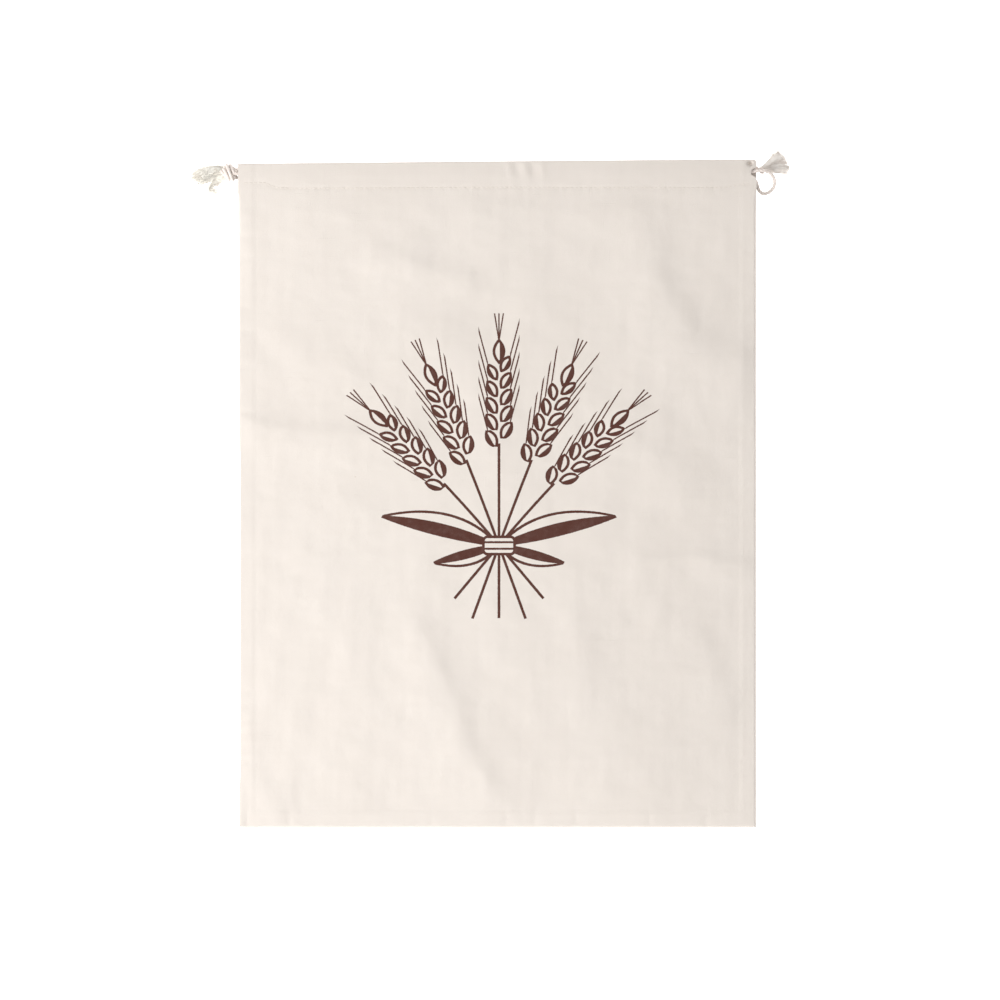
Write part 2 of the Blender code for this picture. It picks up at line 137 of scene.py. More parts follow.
FINE_FOLDS = (
    Fold(0.30, 7.0, 3.5, ((-2.6, -64.0), (-1.0, -94.0))),
    Fold(0.30, 8.0, 4.0, ((26.5, -2.0), (31.0, -22.0))),
    Fold(0.30, 9.0, 5.0, ((-22.5, 5.0), (-7.0, -15.0))),
    Fold(0.30, 4.0, 4.0, ((-145.5, 160.5), (-143.0, 111.5))),
    Fold(0.24, 8.0, 4.0, ((62.0, -160.0), (83.0, -152.0), (103.0, -147.0))),
    Fold(0.20, 6.0, 3.0, ((-118.5, -173.0), (-116.0, -192.0))),
    Fold(0.20, 5.0, 3.0, ((-37.5, -172.0), (-38.0, -192.0))),
    Fold(0.10, 6.0, 4.0, ((-70.0, 141.0), (-46.0, 136.0))),
    Fold(0.09, 7.0, 4.0, ((88.0, 140.0), (107.0, 109.0))),
    Fold(0.09, 6.0, 4.0, ((-27.0, -107.0), (-21.0, -133.0))),
    Fold(0.14, 6.0, 3.6, ((17.2, -96.2), (23.0, -130.3))),
    Fold(0.14, 6.0, 3.6, ((-71.9, -93.9), (-58.0, -114.1))),
    Fold(0.14, 6.0, 4.0, ((-135.0, -45.3), (-118.8, -53.4))),
    Fold(0.20, 6.0, 3.4, ((-97.0, 12.0), (-84.0, -18.0))),
    Fold(0.22, 7.0, 3.6, ((112.0, 62.0), (122.0, 31.0))),
    Fold(0.20, 6.0, 3.4, ((94.0, -66.0), (84.0, -98.0))),
)


def smooth(value: np.ndarray | float) -> np.ndarray:
    """Goes from 0 to 1 with no kink as the value does."""
    held = np.clip(value, 0.0, 1.0)
    return held * held * (3.0 - 2.0 * held)


def bump(away: np.ndarray, reach: float) -> np.ndarray:
    """A bell curve of height 1 that fades over its reach."""
    return np.exp(-((away / reach) ** 2))


@dataclass(frozen=True)
class Ripple:
    """An uneven waviness of the cloth, the sum of many waves of about one length."""

    height: float
    wavelength: float
    seed: int
    waves: int = 26
    spread: float = 0.35

    def lift(self, x: np.ndarray, y: np.ndarray) -> np.ndarray:
        """Tells how far the waves lift the cloth.

        Args:
            x: Places across the bag.
            y: Places up the bag.

        Returns:
            The lift at each place, about the height given at its most.
        """
        draw = np.random.default_rng(self.seed)
        total = np.zeros(np.broadcast(x, y).shape)
        for _ in range(self.waves):
            length = self.wavelength * (1.0 + self.spread * draw.uniform(-1.0, 1.0))
            turn, phase = draw.uniform(0.0, math.pi), draw.uniform(0.0, 2.0 * math.pi)
            total += np.sin((x * math.cos(turn) + y * math.sin(turn)) * 2.0 * math.pi / length + phase)
        return self.height * total / math.sqrt(self.waves)


@dataclass(frozen=True)
class BagForm:
    """The bag's plan, and the heights that both panels share."""

    width: float
    height: float
    mouth_gape: float
    top_drop: float = 2.6
    solid_cloth: float = 1.0
    cloth: float = 0.45
    gap: float = 0.3
    half_channel: float = 1.2
    half_casing: float = 2.2
    end_inset: float = 4.0
    slit_foot: float = 17.0
    seam_rise: float = 3.2
    seam_rise_length: float = 24.0
    seam_height: float = 0.95
    allowance: float = 9.0
    corner: float = 1.8
    left_edge: tuple = (
        (0.0, 0.6),
        (18.0, 0.7),
        (40.0, 1.4),
        (210.0, 1.3),
        (235.0, 0.6),
        (335.0, 0.5),
        (348.0, 0.0),
        (366.0, 0.1),
        (386.8, 0.0),
    )
    stitch_line: tuple = (
        (-150.0, 11.2),
        (-134.5, 11.2),
        (-128.0, 14.0),
        (-117.0, 14.7),
        (0.0, 15.2),
        (120.0, 16.3),
        (133.0, 16.1),
        (139.5, 14.5),
        (150.0, 14.4),
    )

    @classmethod
    def from_frame(cls) -> "BagForm":
        """Reads the bag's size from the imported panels.

        Returns:
            The form, as wide, as high and as open as the panels.
        """
        low, high = (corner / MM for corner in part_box("back_panel"))
        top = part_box("front_panel")[1].z / MM
        stacked = 4 * cls.half_casing + cls.gap
        return cls(high.x - low.x, high.y - low.y, top - stacked)

    def top_edge(self, x: np.ndarray) -> np.ndarray:
        """The place of the mouth's fold in the plan."""
        return self.height / 2 - self.top_drop * (self.width / 2 - x) / self.width

    def cornered(self, depth: np.ndarray) -> np.ndarray:
        """How far the mouth's rounded right corner is drawn in."""
        return self.corner * (1.0 - np.sqrt(1.0 - np.clip(1.0 - depth / self.corner, 0.0, 1.0) ** 2))

    def waver(self, y: np.ndarray) -> np.ndarray:
        """How far the left edge is drawn in."""
        above, inset = zip(*self.left_edge)
        return np.interp(y + self.height / 2, above, inset)

    def stitch_depth(self, x: np.ndarray) -> np.ndarray:
        """How far the casing's stitch line runs below the fold."""
        across, depth = zip(*self.stitch_line)
        return np.interp(x, across, depth)

    def gape(self, x: np.ndarray) -> np.ndarray:
        """How far the front casing stands off the back one."""
        return self.mouth_gape * (1.0 - np.abs(2.0 * x / self.width) ** 3)

    def side(self, x: np.ndarray) -> np.ndarray:
        """How far a place is from the nearer side seam."""
        return self.width / 2 - np.abs(x)

    def above_bottom(self, y: np.ndarray) -> np.ndarray:
        """How far a place is from the bottom seam."""
        return y + self.height / 2

    def below_slit(self, x: np.ndarray, y: np.ndarray) -> np.ndarray:
        """How far a place is below the foot of the casing's open ends."""
        return self.top_edge(x) - self.slit_foot - y

    def seam_level(self, x: np.ndarray, y: np.ndarray) -> np.ndarray:
        """The height at which the two panels meet at their seams."""
        return self.seam_height + self.seam_rise * smooth(1.0 - self.below_slit(x, y) / self.seam_rise_length)

    def allowance_step(self, x: np.ndarray, y: np.ndarray) -> np.ndarray:
        """The faint step where the seam's allowance ends inside the bag, from 0 to 1 at the seams."""
        nearest = np.minimum(self.side(x), self.above_bottom(y))
        return smooth((self.allowance - nearest) / 1.4 + 0.5)


@dataclass
class Panel:
    """One of the bag's two cloths, whose top is folded to the inside as a casing."""

    form: BagForm
    finish: "LinenFinish"
    name: str
    node: str
    facing: Facing
    spacing: float
    inside_every: int = 4
    end_reach: float = 14.0
    edge_steps: tuple = (0.0, 0.08, 0.2, 0.4, 0.8, 1.4, 2.1, 2.8, 3.5, 4.2, 4.9, 5.6, 6.4, 7.3, 8.4, 9.7)
    casing_length: float = 19.0
    casing_depths: tuple = (
        17.9, 16.9, 16.1, 15.4, 14.8, 14.2, 13.6, 12.9, 12.1, 11.2, 10.2, 9.2, 8.2, 7.2,
        6.3, 5.4, 4.6, 3.9, 3.2, 2.6, 2.05, 1.55, 1.1, 0.75, 0.45, 0.22, 0.08,
    )
    hem_depths: tuple = (
        0.0, 0.08, 0.3, 0.7, 1.3, 2.2, 3.4, 5.0, 7.0, 9.0, 10.6, 11.8, 12.8, 13.6, 14.5, 15.4,
    )
    hem_opening: tuple = (0.9, 1.9)

    def columns(self) -> np.ndarray:
        """Spreads places across the bag, closer together at its two edges."""
        half, steps = self.form.width / 2, np.array(self.edge_steps)
        count = round((self.form.width - 2.0 * steps[-1]) / self.spacing)
        middle = np.linspace(-half + steps[-1], half - steps[-1], count + 1)
        return np.concatenate((steps[:-1] - half, middle, half - steps[-2::-1]))

    def across(self, left_inset: np.ndarray, right_inset: np.ndarray) -> np.ndarray:
        """Draws in the places near the bag's two edges.

        Args:
            left_inset: How far each row's left end is drawn in.
            right_inset: The same at the right.

        Returns:
            A row of places for each inset.
        """
        half = self.form.width / 2
        x = self.columns()[None, :]
        from_left = np.clip(1.0 - (x + half) / self.end_reach, 0.0, 1.0)
        from_right = np.clip(1.0 - (half - x) / self.end_reach, 0.0, 1.0)
        return x + np.asarray(left_inset)[:, None] * from_left - np.asarray(right_inset)[:, None] * from_right

    def outside_level(self, x: np.ndarray, y: np.ndarray) -> np.ndarray:
        """The height of the outer side, from the bottom seam to the fold."""
        raise NotImplementedError

    def hem_level(self, x: np.ndarray, depth: np.ndarray) -> np.ndarray:
        """The height of the side of the hem that looks into the bag."""
        raise NotImplementedError

    def outside_insets(self, depth: np.ndarray) -> tuple[np.ndarray, np.ndarray]:
        """How far the outer layer's ends are drawn in at the left and at the right."""
        raise NotImplementedError

    def rows(self) -> tuple[np.ndarray, list[int]]:
        """Works out the outer side of the folded cloth.

        Returns:
            Its points, row by row from the bottom seam round the fold to the hem's end, and the numbers
            of the rows that its inner side has too.
        """
        form = self.form
        body_length, steps = form.height - self.casing_length, np.array(self.edge_steps)
        count = round(body_length / self.spacing / self.inside_every) * self.inside_every
        even = np.linspace(steps[-1], body_length, count - len(steps) + 2)
        shares = np.concatenate((steps[:-1], even)) / body_length
        x_plain = self.across(np.zeros(count + 1), np.zeros(count + 1))
        top = form.top_edge(x_plain) - self.casing_length
        y_body = -form.height / 2 + shares[:, None] * (top + form.height / 2)
        left, right = self.outside_insets(form.top_edge(0.0) - y_body[:, 0])
        x_body = self.across(np.maximum(left, form.waver(y_body[:, 0])), right)
        body = np.stack((x_body, y_body, self.outside_level(x_body, y_body)), axis=2)

        depths = np.array(self.casing_depths)
        left, right = self.outside_insets(depths)
        x_casing = self.across(left, right)
        y_casing = form.top_edge(x_casing) - depths[:, None]
        casing = np.stack((x_casing, y_casing, self.outside_level(x_casing, y_casing)), axis=2)

        hem_depths = np.array(self.hem_depths)
        start, opening = self.hem_opening
        drawn = form.end_inset * smooth((hem_depths - start) / opening)
        x_hem = self.across(drawn, np.maximum(drawn, form.cornered(hem_depths)))
        y_hem = form.top_edge(x_hem) - hem_depths[:, None]
        hem = np.stack((x_hem, y_hem, self.hem_level(x_hem, hem_depths[:, None])), axis=2)

        outer = np.concatenate((body, casing, hem))
        joints = list(range(0, count + 1, self.inside_every))
        joints += list(range(count + 2, count + len(depths), 2))
        joints += list(range(count + 1 + len(depths), len(outer)))
        return outer, joints

    def thickened(self, outer: np.ndarray, joints: list[int]) -> np.ndarray:
        """Works out the inner side, a cloth's thickness behind the outer one.

        Args:
            outer: The points of the outer side.
            joints: The rows that the inner side has.

        Returns:
            The points of the inner side.
        """
        along, aside = np.gradient(outer, axis=0), np.gradient(outer, axis=1)
        outward = np.cross(aside, along)
        outward /= np.maximum(np.linalg.norm(outward, axis=2, keepdims=True), 1e-9)
        return (outer - outward * self.facing.value * self.form.cloth)[joints]

    def build(self) -> bpy.types.Object:
        """Returns:
            The finished panel.
        """
        outer, joints = self.rows()
        inner = self.thickened(outer, joints)
        rows, columns = outer.shape[:2]
        first_inner = rows * columns
        faces = grid_faces(rows, columns, 0)
        faces += grid_faces(len(joints), columns, first_inner)
        for j, (low, high) in enumerate(zip(joints, joints[1:])):
            for column in (0, columns - 1):
                edge = [row * columns + column for row in range(low, high + 1)]
                back = [first_inner + (j + 1) * columns + column, first_inner + j * columns + column]
                faces.append(tuple(edge + back))
        for row, inner_row in ((0, 0), (rows - 1, len(joints) - 1)):
            for column in range(columns - 1):
                a = row * columns + column
                b = first_inner + inner_row * columns + column
                faces.append((a, a + 1, b + 1, b))
        points = np.concatenate((outer.reshape(-1, 3), inner.reshape(-1, 3)))
        lengths = np.linalg.norm(np.diff(outer[:, columns // 2], axis=0), axis=1)
        travelled = np.concatenate(([0.0], np.cumsum(lengths)))
        along = np.concatenate((np.repeat(travelled, columns), np.repeat(travelled[joints], columns)))
        uv = np.stack((points[:, 0], along), axis=1) * MM
        made = closed_mesh(self.name, points * MM, faces, uv)
        made.data.materials.append(self.finish.material(f"{self.name}_linen"))
        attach(made, BODY)
        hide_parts(self.node)
        return made


def grid_faces(rows: int, columns: int, first: int) -> list[tuple]:
    """Lists the faces between the points of a grid.

    Args:
        rows: The number of rows.
        columns: The number of points in each.
        first: The number of the grid's first point.

    Returns:
        Four point numbers for each face.
    """
    corner = (np.arange(rows - 1)[:, None] * columns + np.arange(columns - 1)[None, :] + first).ravel()
    faces = np.stack((corner, corner + 1, corner + columns + 1, corner + columns), axis=1)
    return [tuple(face) for face in faces.tolist()]


def closed_mesh(name: str, points: np.ndarray, faces: list, uv: np.ndarray | None = None) -> bpy.types.Object:
    """Makes a smooth object of a closed mesh, with its faces pointing outwards.

    Args:
        name: The object's name.
        points: The points in metres.
        faces: The point numbers of each face.
        uv: A place on the cloth for each point, in metres.

    Returns:
        The new object.
    """
    data = bpy.data.meshes.new(name)
    data.from_pydata(points.tolist(), [], faces)
    if uv is not None:
        corners = np.zeros(len(data.loops), dtype=np.int32)
        data.loops.foreach_get("vertex_index", corners)
        data.uv_layers.new(name="cloth")
        data.uv_layers["cloth"].data.foreach_set("uv", uv[corners].astype(np.float32).ravel())
    shell = bmesh.new()
    shell.from_mesh(data)
    bmesh.ops.recalc_face_normals(shell, faces=shell.faces)
    shell.to_mesh(data)
    shell.free()
    data.shade_smooth()
    data.set_sharp_from_angle(angle=math.radians(60))
    made = bpy.data.objects.new(name, data)
    bpy.context.scene.collection.objects.link(made)
    return made


@dataclass
class FrontPanel(Panel):
    """The printed front: it arches over the bag's inside and rises to the mouth."""

    name: str = "front_panel_cloth"
    node: str = "front_panel"
    facing: Facing = Facing.FRONT
    spacing: float = 1.4
    edge_rise: float = 2.0
    edge_rise_reach: float = 0.25
    loft: float = 6.4
    loft_power: int = 6
    mouth_blend: float = 80.0
    seam_blend: float = 70.0
    seam_hold: float = 60.0
    casing_depth: float = 14.5
    roll_width: float = 8.6
    roll_slope: float = 0.8
    roll_edge: float = 0.45
    right_slit: tuple = (4.6, 1.4)
    slit_inset: float = 3.4
    hem_sag: float = 1.9
    edge_reach: float = 0.25
    end_foot: tuple = (11.2, 2.6)
    pucker_seed: int = 7
    pleats: tuple = ((6.5, 0.45), (11.0, -0.4), (15.5, 0.5), (20.0, -0.45), (25.5, 0.4))
    roll_end: tuple = (146.0, 191.0)
    broad_share: float = 0.85
    ripples: tuple = (Ripple(0.26, 62.0, 11), Ripple(0.14, 27.0, 12), Ripple(0.055, 12.0, 13))
    left_puckers: tuple = (
        148.6, 136.4, 107.9, 94.1, 73.9, 47.3, -114.1, -122.0, -131.0, -138.5, -147.0, -154.6,
    )
    bottom_puckers: tuple = (-144.8, -120.5, -37.8, 5.1, 21.3, 45.6, 88.0, 121.0)

    def __post_init__(self) -> None:
        """Draws the places of the small puckers along the stitch line."""
        draw = np.random.default_rng(self.pucker_seed)
        places, at = [], -self.form.width / 2 + 14.0
        while at < self.form.width / 2 - 14.0:
            places.append((at, draw.uniform(0.4, 1.0), draw.uniform(1.3, 1.9)))
            at += draw.uniform(3.4, 10.5)
        self.puckers = places

    def middle(self, x: np.ndarray) -> np.ndarray:
        """The height of the casing's middle."""
        return 3 * self.form.half_casing + self.form.gap + self.form.gape(x)

    def lying(self, x: np.ndarray, y: np.ndarray) -> np.ndarray:
        """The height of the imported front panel's outer side."""
        form = self.form
        free = (1.0 - np.exp(-form.side(x) / self.edge_rise_reach))
        free = free * (1.0 - np.exp(-form.above_bottom(y) / self.edge_rise_reach))
        arch = 1.0 - (2.0 * x / form.width) ** 2
        arch = arch * (1.0 - np.minimum(0.0, 2.0 * y / form.height) ** self.loft_power)
        folds = sum(fold.lift(x, y) for fold in MAIN_FOLDS)
        level = form.solid_cloth + form.gap + free * (self.edge_rise + folds) + self.loft * arch
        casing = self.middle(x) + form.half_channel
        below = form.top_edge(x) - self.casing_depth - y
        blend = self.seam_blend + (self.mouth_blend - self.seam_blend) * smooth(form.side(x) / self.seam_hold)
        return level + (casing - level) * smooth(1.0 - below / blend) + form.solid_cloth

    def wrinkles(self, x: np.ndarray, y: np.ndarray) -> np.ndarray:
        """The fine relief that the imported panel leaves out."""
        form = self.form
        side, bottom = form.side(x), form.above_bottom(y)
        free = smooth(side / 16.0) * smooth(bottom / 16.0)
        below_casing = smooth((form.top_edge(x) - 17.0 - y) / 14.0)
        lift = free * (0.35 + 0.65 * below_casing) * sum(ripple.lift(x, y) for ripple in self.ripples)
        lift = lift + below_casing * sum(fold.lift(x, y) for fold in FINE_FOLDS)
        broad = sum(fold.broadened(self.broad_share).lift(x, y) for fold in MAIN_FOLDS)
        lift = lift + smooth(side / 10.0) * smooth(bottom / 10.0) * below_casing * broad
        for place in self.left_puckers:
            lift = lift - 0.35 * bump(y - place, 2.2) * bump(x + form.width / 2 - 3.0, 7.0)
            lift = lift - 0.22 * bump(y - place + 9.0, 2.6) * bump(form.width / 2 - 3.0 - x, 6.0)
        for place in self.bottom_puckers:
            lift = lift - 0.35 * bump(x - place, 2.0) * bump(bottom - 3.0, 8.0)
        return lift + 0.22 * form.allowance_step(x, y)

    def casing_relief(self, x: np.ndarray, y: np.ndarray) -> np.ndarray:
        """The roll over the cords, the stitch line's dip with its puckers, and the pleats."""
        form = self.form
        depth = form.top_edge(x) - y
        rolled = np.clip(1.0 - depth / self.roll_width, 0.0, 1.0)
        turned = np.clip(1.0 - depth / self.roll_edge, 0.0, 1.0)
        lift = -self.roll_slope * rolled**1.45
        lift = lift - (form.half_casing - self.roll_slope) * (1.0 - np.sqrt(1.0 - turned**2))
        line = depth - form.stitch_depth(x)
        inside = smooth((form.side(x) - 2.0) / 3.0)
        lift = lift - 0.14 * bump(line, 1.1) * inside
        for place, strength, reach in self.puckers:
            lift = lift - 0.24 * strength * bump(x - place, reach) * bump(line - 0.8, 2.0)
            lift = lift + 0.14 * strength * bump(x - place - 2.0, reach) * bump(line - 1.4, 2.0)
        for place, height in self.pleats:
            pleat = height * bump(x - place - 0.12 * depth, 1.5) * smooth(depth / 1.6)
            lift = lift + pleat * bump(depth - 4.0, 6.0)
        end_x, end_y = self.roll_end
        from_end = np.hypot(x - end_x, y - end_y)
        lift = lift + 0.4 * bump(from_end - 2.3, 0.9) - 2.6 * bump(from_end, 1.1)
        lift = lift - 1.4 * smooth((x - 141.0) / 8.0) * bump(depth - 2.4, 3.4)
        return lift

    def outside_level(self, x: np.ndarray, y: np.ndarray) -> np.ndarray:
        """The height of the outer side, drawn down to the seams."""
        form = self.form
        level = self.lying(x, y) + self.wrinkles(x, y) + self.casing_relief(x, y)
        at_seam = form.seam_level(x, y) + form.cloth / 2
        joined = smooth(form.below_slit(x, y) / 5.0)
        nearest = np.minimum(form.side(x), form.above_bottom(y))
        drawn = np.exp(-np.maximum(nearest, 0.0) / self.edge_reach) * joined
        return level + (at_seam - level) * drawn

    def hem_level(self, x: np.ndarray, depth: np.ndarray) -> np.ndarray:
        """The height of the hem's lower side, which is sewn to the outer layer at its end."""
        form = self.form
        rolled = np.clip(1.0 - depth / 2.6, 0.0, 1.0)
        sagging = -self.hem_sag * np.sqrt(1.0 - rolled**2)
        sewn = form.half_casing - 2.3 * form.cloth - 0.55 * bump(depth - form.stitch_depth(x), 0.9)
        return self.middle(x) + sagging + (sewn - sagging) * smooth((depth - 7.0) / 6.0)

    def outside_insets(self, depth: np.ndarray) -> tuple[np.ndarray, np.ndarray]:
        """The left end is flush with the side, and the right one is open below the roll."""
        foot, rounding = self.end_foot
        opened = self.slit_inset * smooth((depth - self.right_slit[0]) / self.right_slit[1])
        return np.zeros_like(depth), opened * smooth((foot - depth) / rounding) + self.form.cornered(depth)

    def build(self) -> bpy.types.Object:
        made = super().build()
        flat = (self.form.width * MM, (self.form.height + self.hem_depths[-1]) * MM)
        return made


@dataclass
class BackPanel(Panel):
    """The plain back, which lies on the floor."""

    name: str = "back_panel_cloth"
    node: str = "back_panel"
    facing: Facing = Facing.BACK
    spacing: float = 2.2
    fold_width: float = 2.4
    hem_rise: float = 1.9
    edge_reach: float = 2.2
    stitch_lift: float = 0.32
    lifts: tuple = (Ripple(0.35, 48.0, 21), Ripple(0.15, 19.0, 22))

    def outside_level(self, x: np.ndarray, y: np.ndarray) -> np.ndarray:
        """The height of the underside: on the floor, drawn up to the seams."""
        form = self.form
        depth = form.top_edge(x) - y
        rolled = np.clip(1.0 - depth / self.fold_width, 0.0, 1.0)
        level = form.half_casing * (1.0 - np.sqrt(1.0 - rolled**2))
        level = level + self.stitch_lift * bump(depth - form.stitch_depth(x), 1.0)
        free = smooth(form.side(x) / 14.0) * smooth(form.above_bottom(y) / 14.0)
        free = free * smooth((depth - 19.0) / 14.0)
        waves = sum(ripple.lift(x, y) for ripple in self.lifts)
        level = level + free * np.maximum(waves, 0.0)
        at_seam = form.seam_level(x, y) - form.cloth / 2
        joined = smooth(form.below_slit(x, y) / 5.0)
        nearest = np.minimum(form.side(x), form.above_bottom(y))
        drawn = np.exp(-np.maximum(nearest, 0.0) / self.edge_reach) * joined
        return level + (at_seam - level) * drawn

    def hem_level(self, x: np.ndarray, depth: np.ndarray) -> np.ndarray:
        """The height of the hem's upper side, which is sewn down at its end."""
        form = self.form
        rolled = np.clip(1.0 - depth / 2.6, 0.0, 1.0)
        risen = form.half_casing + self.hem_rise * np.sqrt(1.0 - rolled**2)
        sewn = 2.3 * form.cloth + self.stitch_lift * bump(depth - form.stitch_depth(x), 1.0)
        return risen + (sewn - risen) * smooth((depth - 7.0) / 6.0)

    def outside_insets(self, depth: np.ndarray) -> tuple[np.ndarray, np.ndarray]:
        """Both ends of the underside are flush with the sides, but for the rounded corner."""
        return np.zeros_like(depth), self.form.cornered(depth)

    def build(self) -> bpy.types.Object:
        made = super().build()
        flat = (self.form.width * MM, (self.form.height + self.hem_depths[-1]) * MM)
        return made


class Field:
    """A value in a node tree that sums and products can be written with."""

    def __init__(self, wiring: "Wiring", socket: bpy.types.NodeSocket) -> None:
        """Holds the socket that gives the value."""
        self.wiring = wiring
        self.socket = socket

    def __add__(self, other: "Field | float") -> "Field":
        """The sum."""
        return self.wiring.math("ADD", self, other)

    def __radd__(self, other: float) -> "Field":
        """The sum, the other way round."""
        return self.wiring.math("ADD", other, self)

    def __sub__(self, other: "Field | float") -> "Field":
        """The difference."""
        return self.wiring.math("SUBTRACT", self, other)

    def __rsub__(self, other: float) -> "Field":
        """The difference, the other way round."""
        return self.wiring.math("SUBTRACT", other, self)

    def __mul__(self, other: "Field | float") -> "Field":
        """The product."""
        return self.wiring.math("MULTIPLY", self, other)

    def __rmul__(self, other: float) -> "Field":
        """The product, the other way round."""
        return self.wiring.math("MULTIPLY", other, self)

    def __truediv__(self, other: "Field | float") -> "Field":
        """The quotient."""
        return self.wiring.math("DIVIDE", self, other)

    def __rtruediv__(self, other: float) -> "Field":
        """The quotient, the other way round."""
        return self.wiring.math("DIVIDE", other, self)


class Wiring:
    """Adds nodes to one tree and joins their sockets."""

    def __init__(self, tree: bpy.types.NodeTree) -> None:
        """Holds the tree that it adds to."""
        self.tree = tree

    def add(self, kind: str, settings: dict | None = None, inputs: dict | None = None) -> bpy.types.Node:
        """Adds a node.

        Args:
            kind: Blender's name for the kind of node.
            settings: Values of the node's own options.
            inputs: A number, colour, vector, socket or field for each input, by name or place.

        Returns:
            The new node.
        """
        node = self.tree.nodes.new(kind)
        for name, value in (settings or {}).items():
            setattr(node, name, value)
        for key, value in (inputs or {}).items():
            self.feed(node.inputs[key], value)
        return node

    def feed(self, target: bpy.types.NodeSocket, value: object) -> None:
        """Joins a socket or a field to an input, or sets the input to a plain value."""
        if isinstance(value, Field):
            value = value.socket
        if isinstance(value, bpy.types.NodeSocket):
            self.tree.links.new(value, target)
        else:
            target.default_value = value

    def math(self, operation: str, *values: "Field | bpy.types.NodeSocket | float") -> Field:
        """Adds a sum, product or other operation on numbers."""
        node = self.add("ShaderNodeMath", {"operation": operation}, dict(enumerate(values)))
        return Field(self, node.outputs[0])

    def vector(self, operation: str, *values: object) -> Field:
        """Adds an operation on vectors."""
        node = self.add("ShaderNodeVectorMath", {"operation": operation}, dict(enumerate(values)))
        return Field(self, node.outputs[0])

    def parts(self, vector: object) -> tuple[Field, Field, Field]:
        """Takes a vector apart into its three numbers."""
        node = self.add("ShaderNodeSeparateXYZ", inputs={0: vector})
        return tuple(Field(self, output) for output in node.outputs)

    def joined(self, x: object, y: object, z: object = 0.0) -> Field:
        """Puts three numbers together as a vector."""
        return Field(self, self.add("ShaderNodeCombineXYZ", inputs={0: x, 1: y, 2: z}).outputs[0])

    def between(self, value: object, low: float, high: float) -> Field:
        """Goes smoothly from 0 at the low number to 1 at the high one."""
        node = self.add(
            "ShaderNodeMapRange",
            {"interpolation_type": "SMOOTHSTEP"},
            {"Value": value, "From Min": low, "From Max": high},
        )
        return Field(self, node.outputs[0])

    def noise(self, vector: object, scale: float, detail: float = 2.0, roughness: float = 0.5) -> Field:
        """Adds an even noise around one half."""
        node = self.add(
            "ShaderNodeTexNoise",
            inputs={"Vector": vector, "Scale": scale, "Detail": detail, "Roughness": roughness},
        )
        return Field(self, node.outputs[0])

    def stretched(self, vector: object, scale: tuple) -> Field:
        """Scales a vector by a different amount each way."""
        return self.vector("MULTIPLY", vector, scale)

    def mixed(self, share: object, first: object, second: object) -> bpy.types.NodeSocket:
        """Mixes two colours."""
        node = self.add("ShaderNodeMix", {"data_type": "RGBA"})
        sockets = {s.identifier: s for s in node.inputs}
        self.feed(sockets["Factor_Float"], share)
        self.feed(sockets["A_Color"], first)
        self.feed(sockets["B_Color"], second)
        return next(s for s in node.outputs if s.identifier == "Result_Color")


class ShaderGroup:
    """A shader node group with named inputs and outputs, built once and used in several places."""

    made: dict = {}

    def __init__(self, name: str, inputs: dict, outputs: dict) -> None:
        """Makes the group's tree and its sockets.

        Args:
            name: The group's name.
            inputs: The kind of each input, by name, with its value where it has one.
            outputs: The kind of each output, by name.
        """
        self.tree = bpy.data.node_groups.new(name, "ShaderNodeTree")
        for label, (kind, value) in inputs.items():
            socket = self.tree.interface.new_socket(name=label, in_out="INPUT", socket_type=kind)
            if value is not None:
                socket.default_value = value
        for label, kind in outputs.items():
            self.tree.interface.new_socket(name=label, in_out="OUTPUT", socket_type=kind)
        self.wiring = Wiring(self.tree)
        self.source = self.tree.nodes.new("NodeGroupInput")
        self.target = self.tree.nodes.new("NodeGroupOutput")

    def field(self, name: str) -> Field:
        """The value of one input."""
        return Field(self.wiring, self.source.outputs[name])

    def give(self, name: str, value: object) -> None:
        """Joins a value to one output."""
        self.wiring.feed(self.target.inputs[name], value)

    @staticmethod
    def place(wiring: Wiring, build: Callable, inputs: dict) -> bpy.types.Node:
        """Puts a group into a tree, and builds it the first time.

        Args:
            wiring: The tree to put it into.
            build: The function that makes the group.
            inputs: A value for each of its inputs that isn't left as it is.

        Returns:
            The group's node.
        """
        if build.__name__ not in ShaderGroup.made:
            ShaderGroup.made[build.__name__] = build()
        node = wiring.tree.nodes.new("ShaderNodeGroup")
        node.node_tree = ShaderGroup.made[build.__name__]
        for key, value in inputs.items():
            wiring.feed(node.inputs[key], value)
        return node


FLOAT, VECTOR = "NodeSocketFloat", "NodeSocketVector"


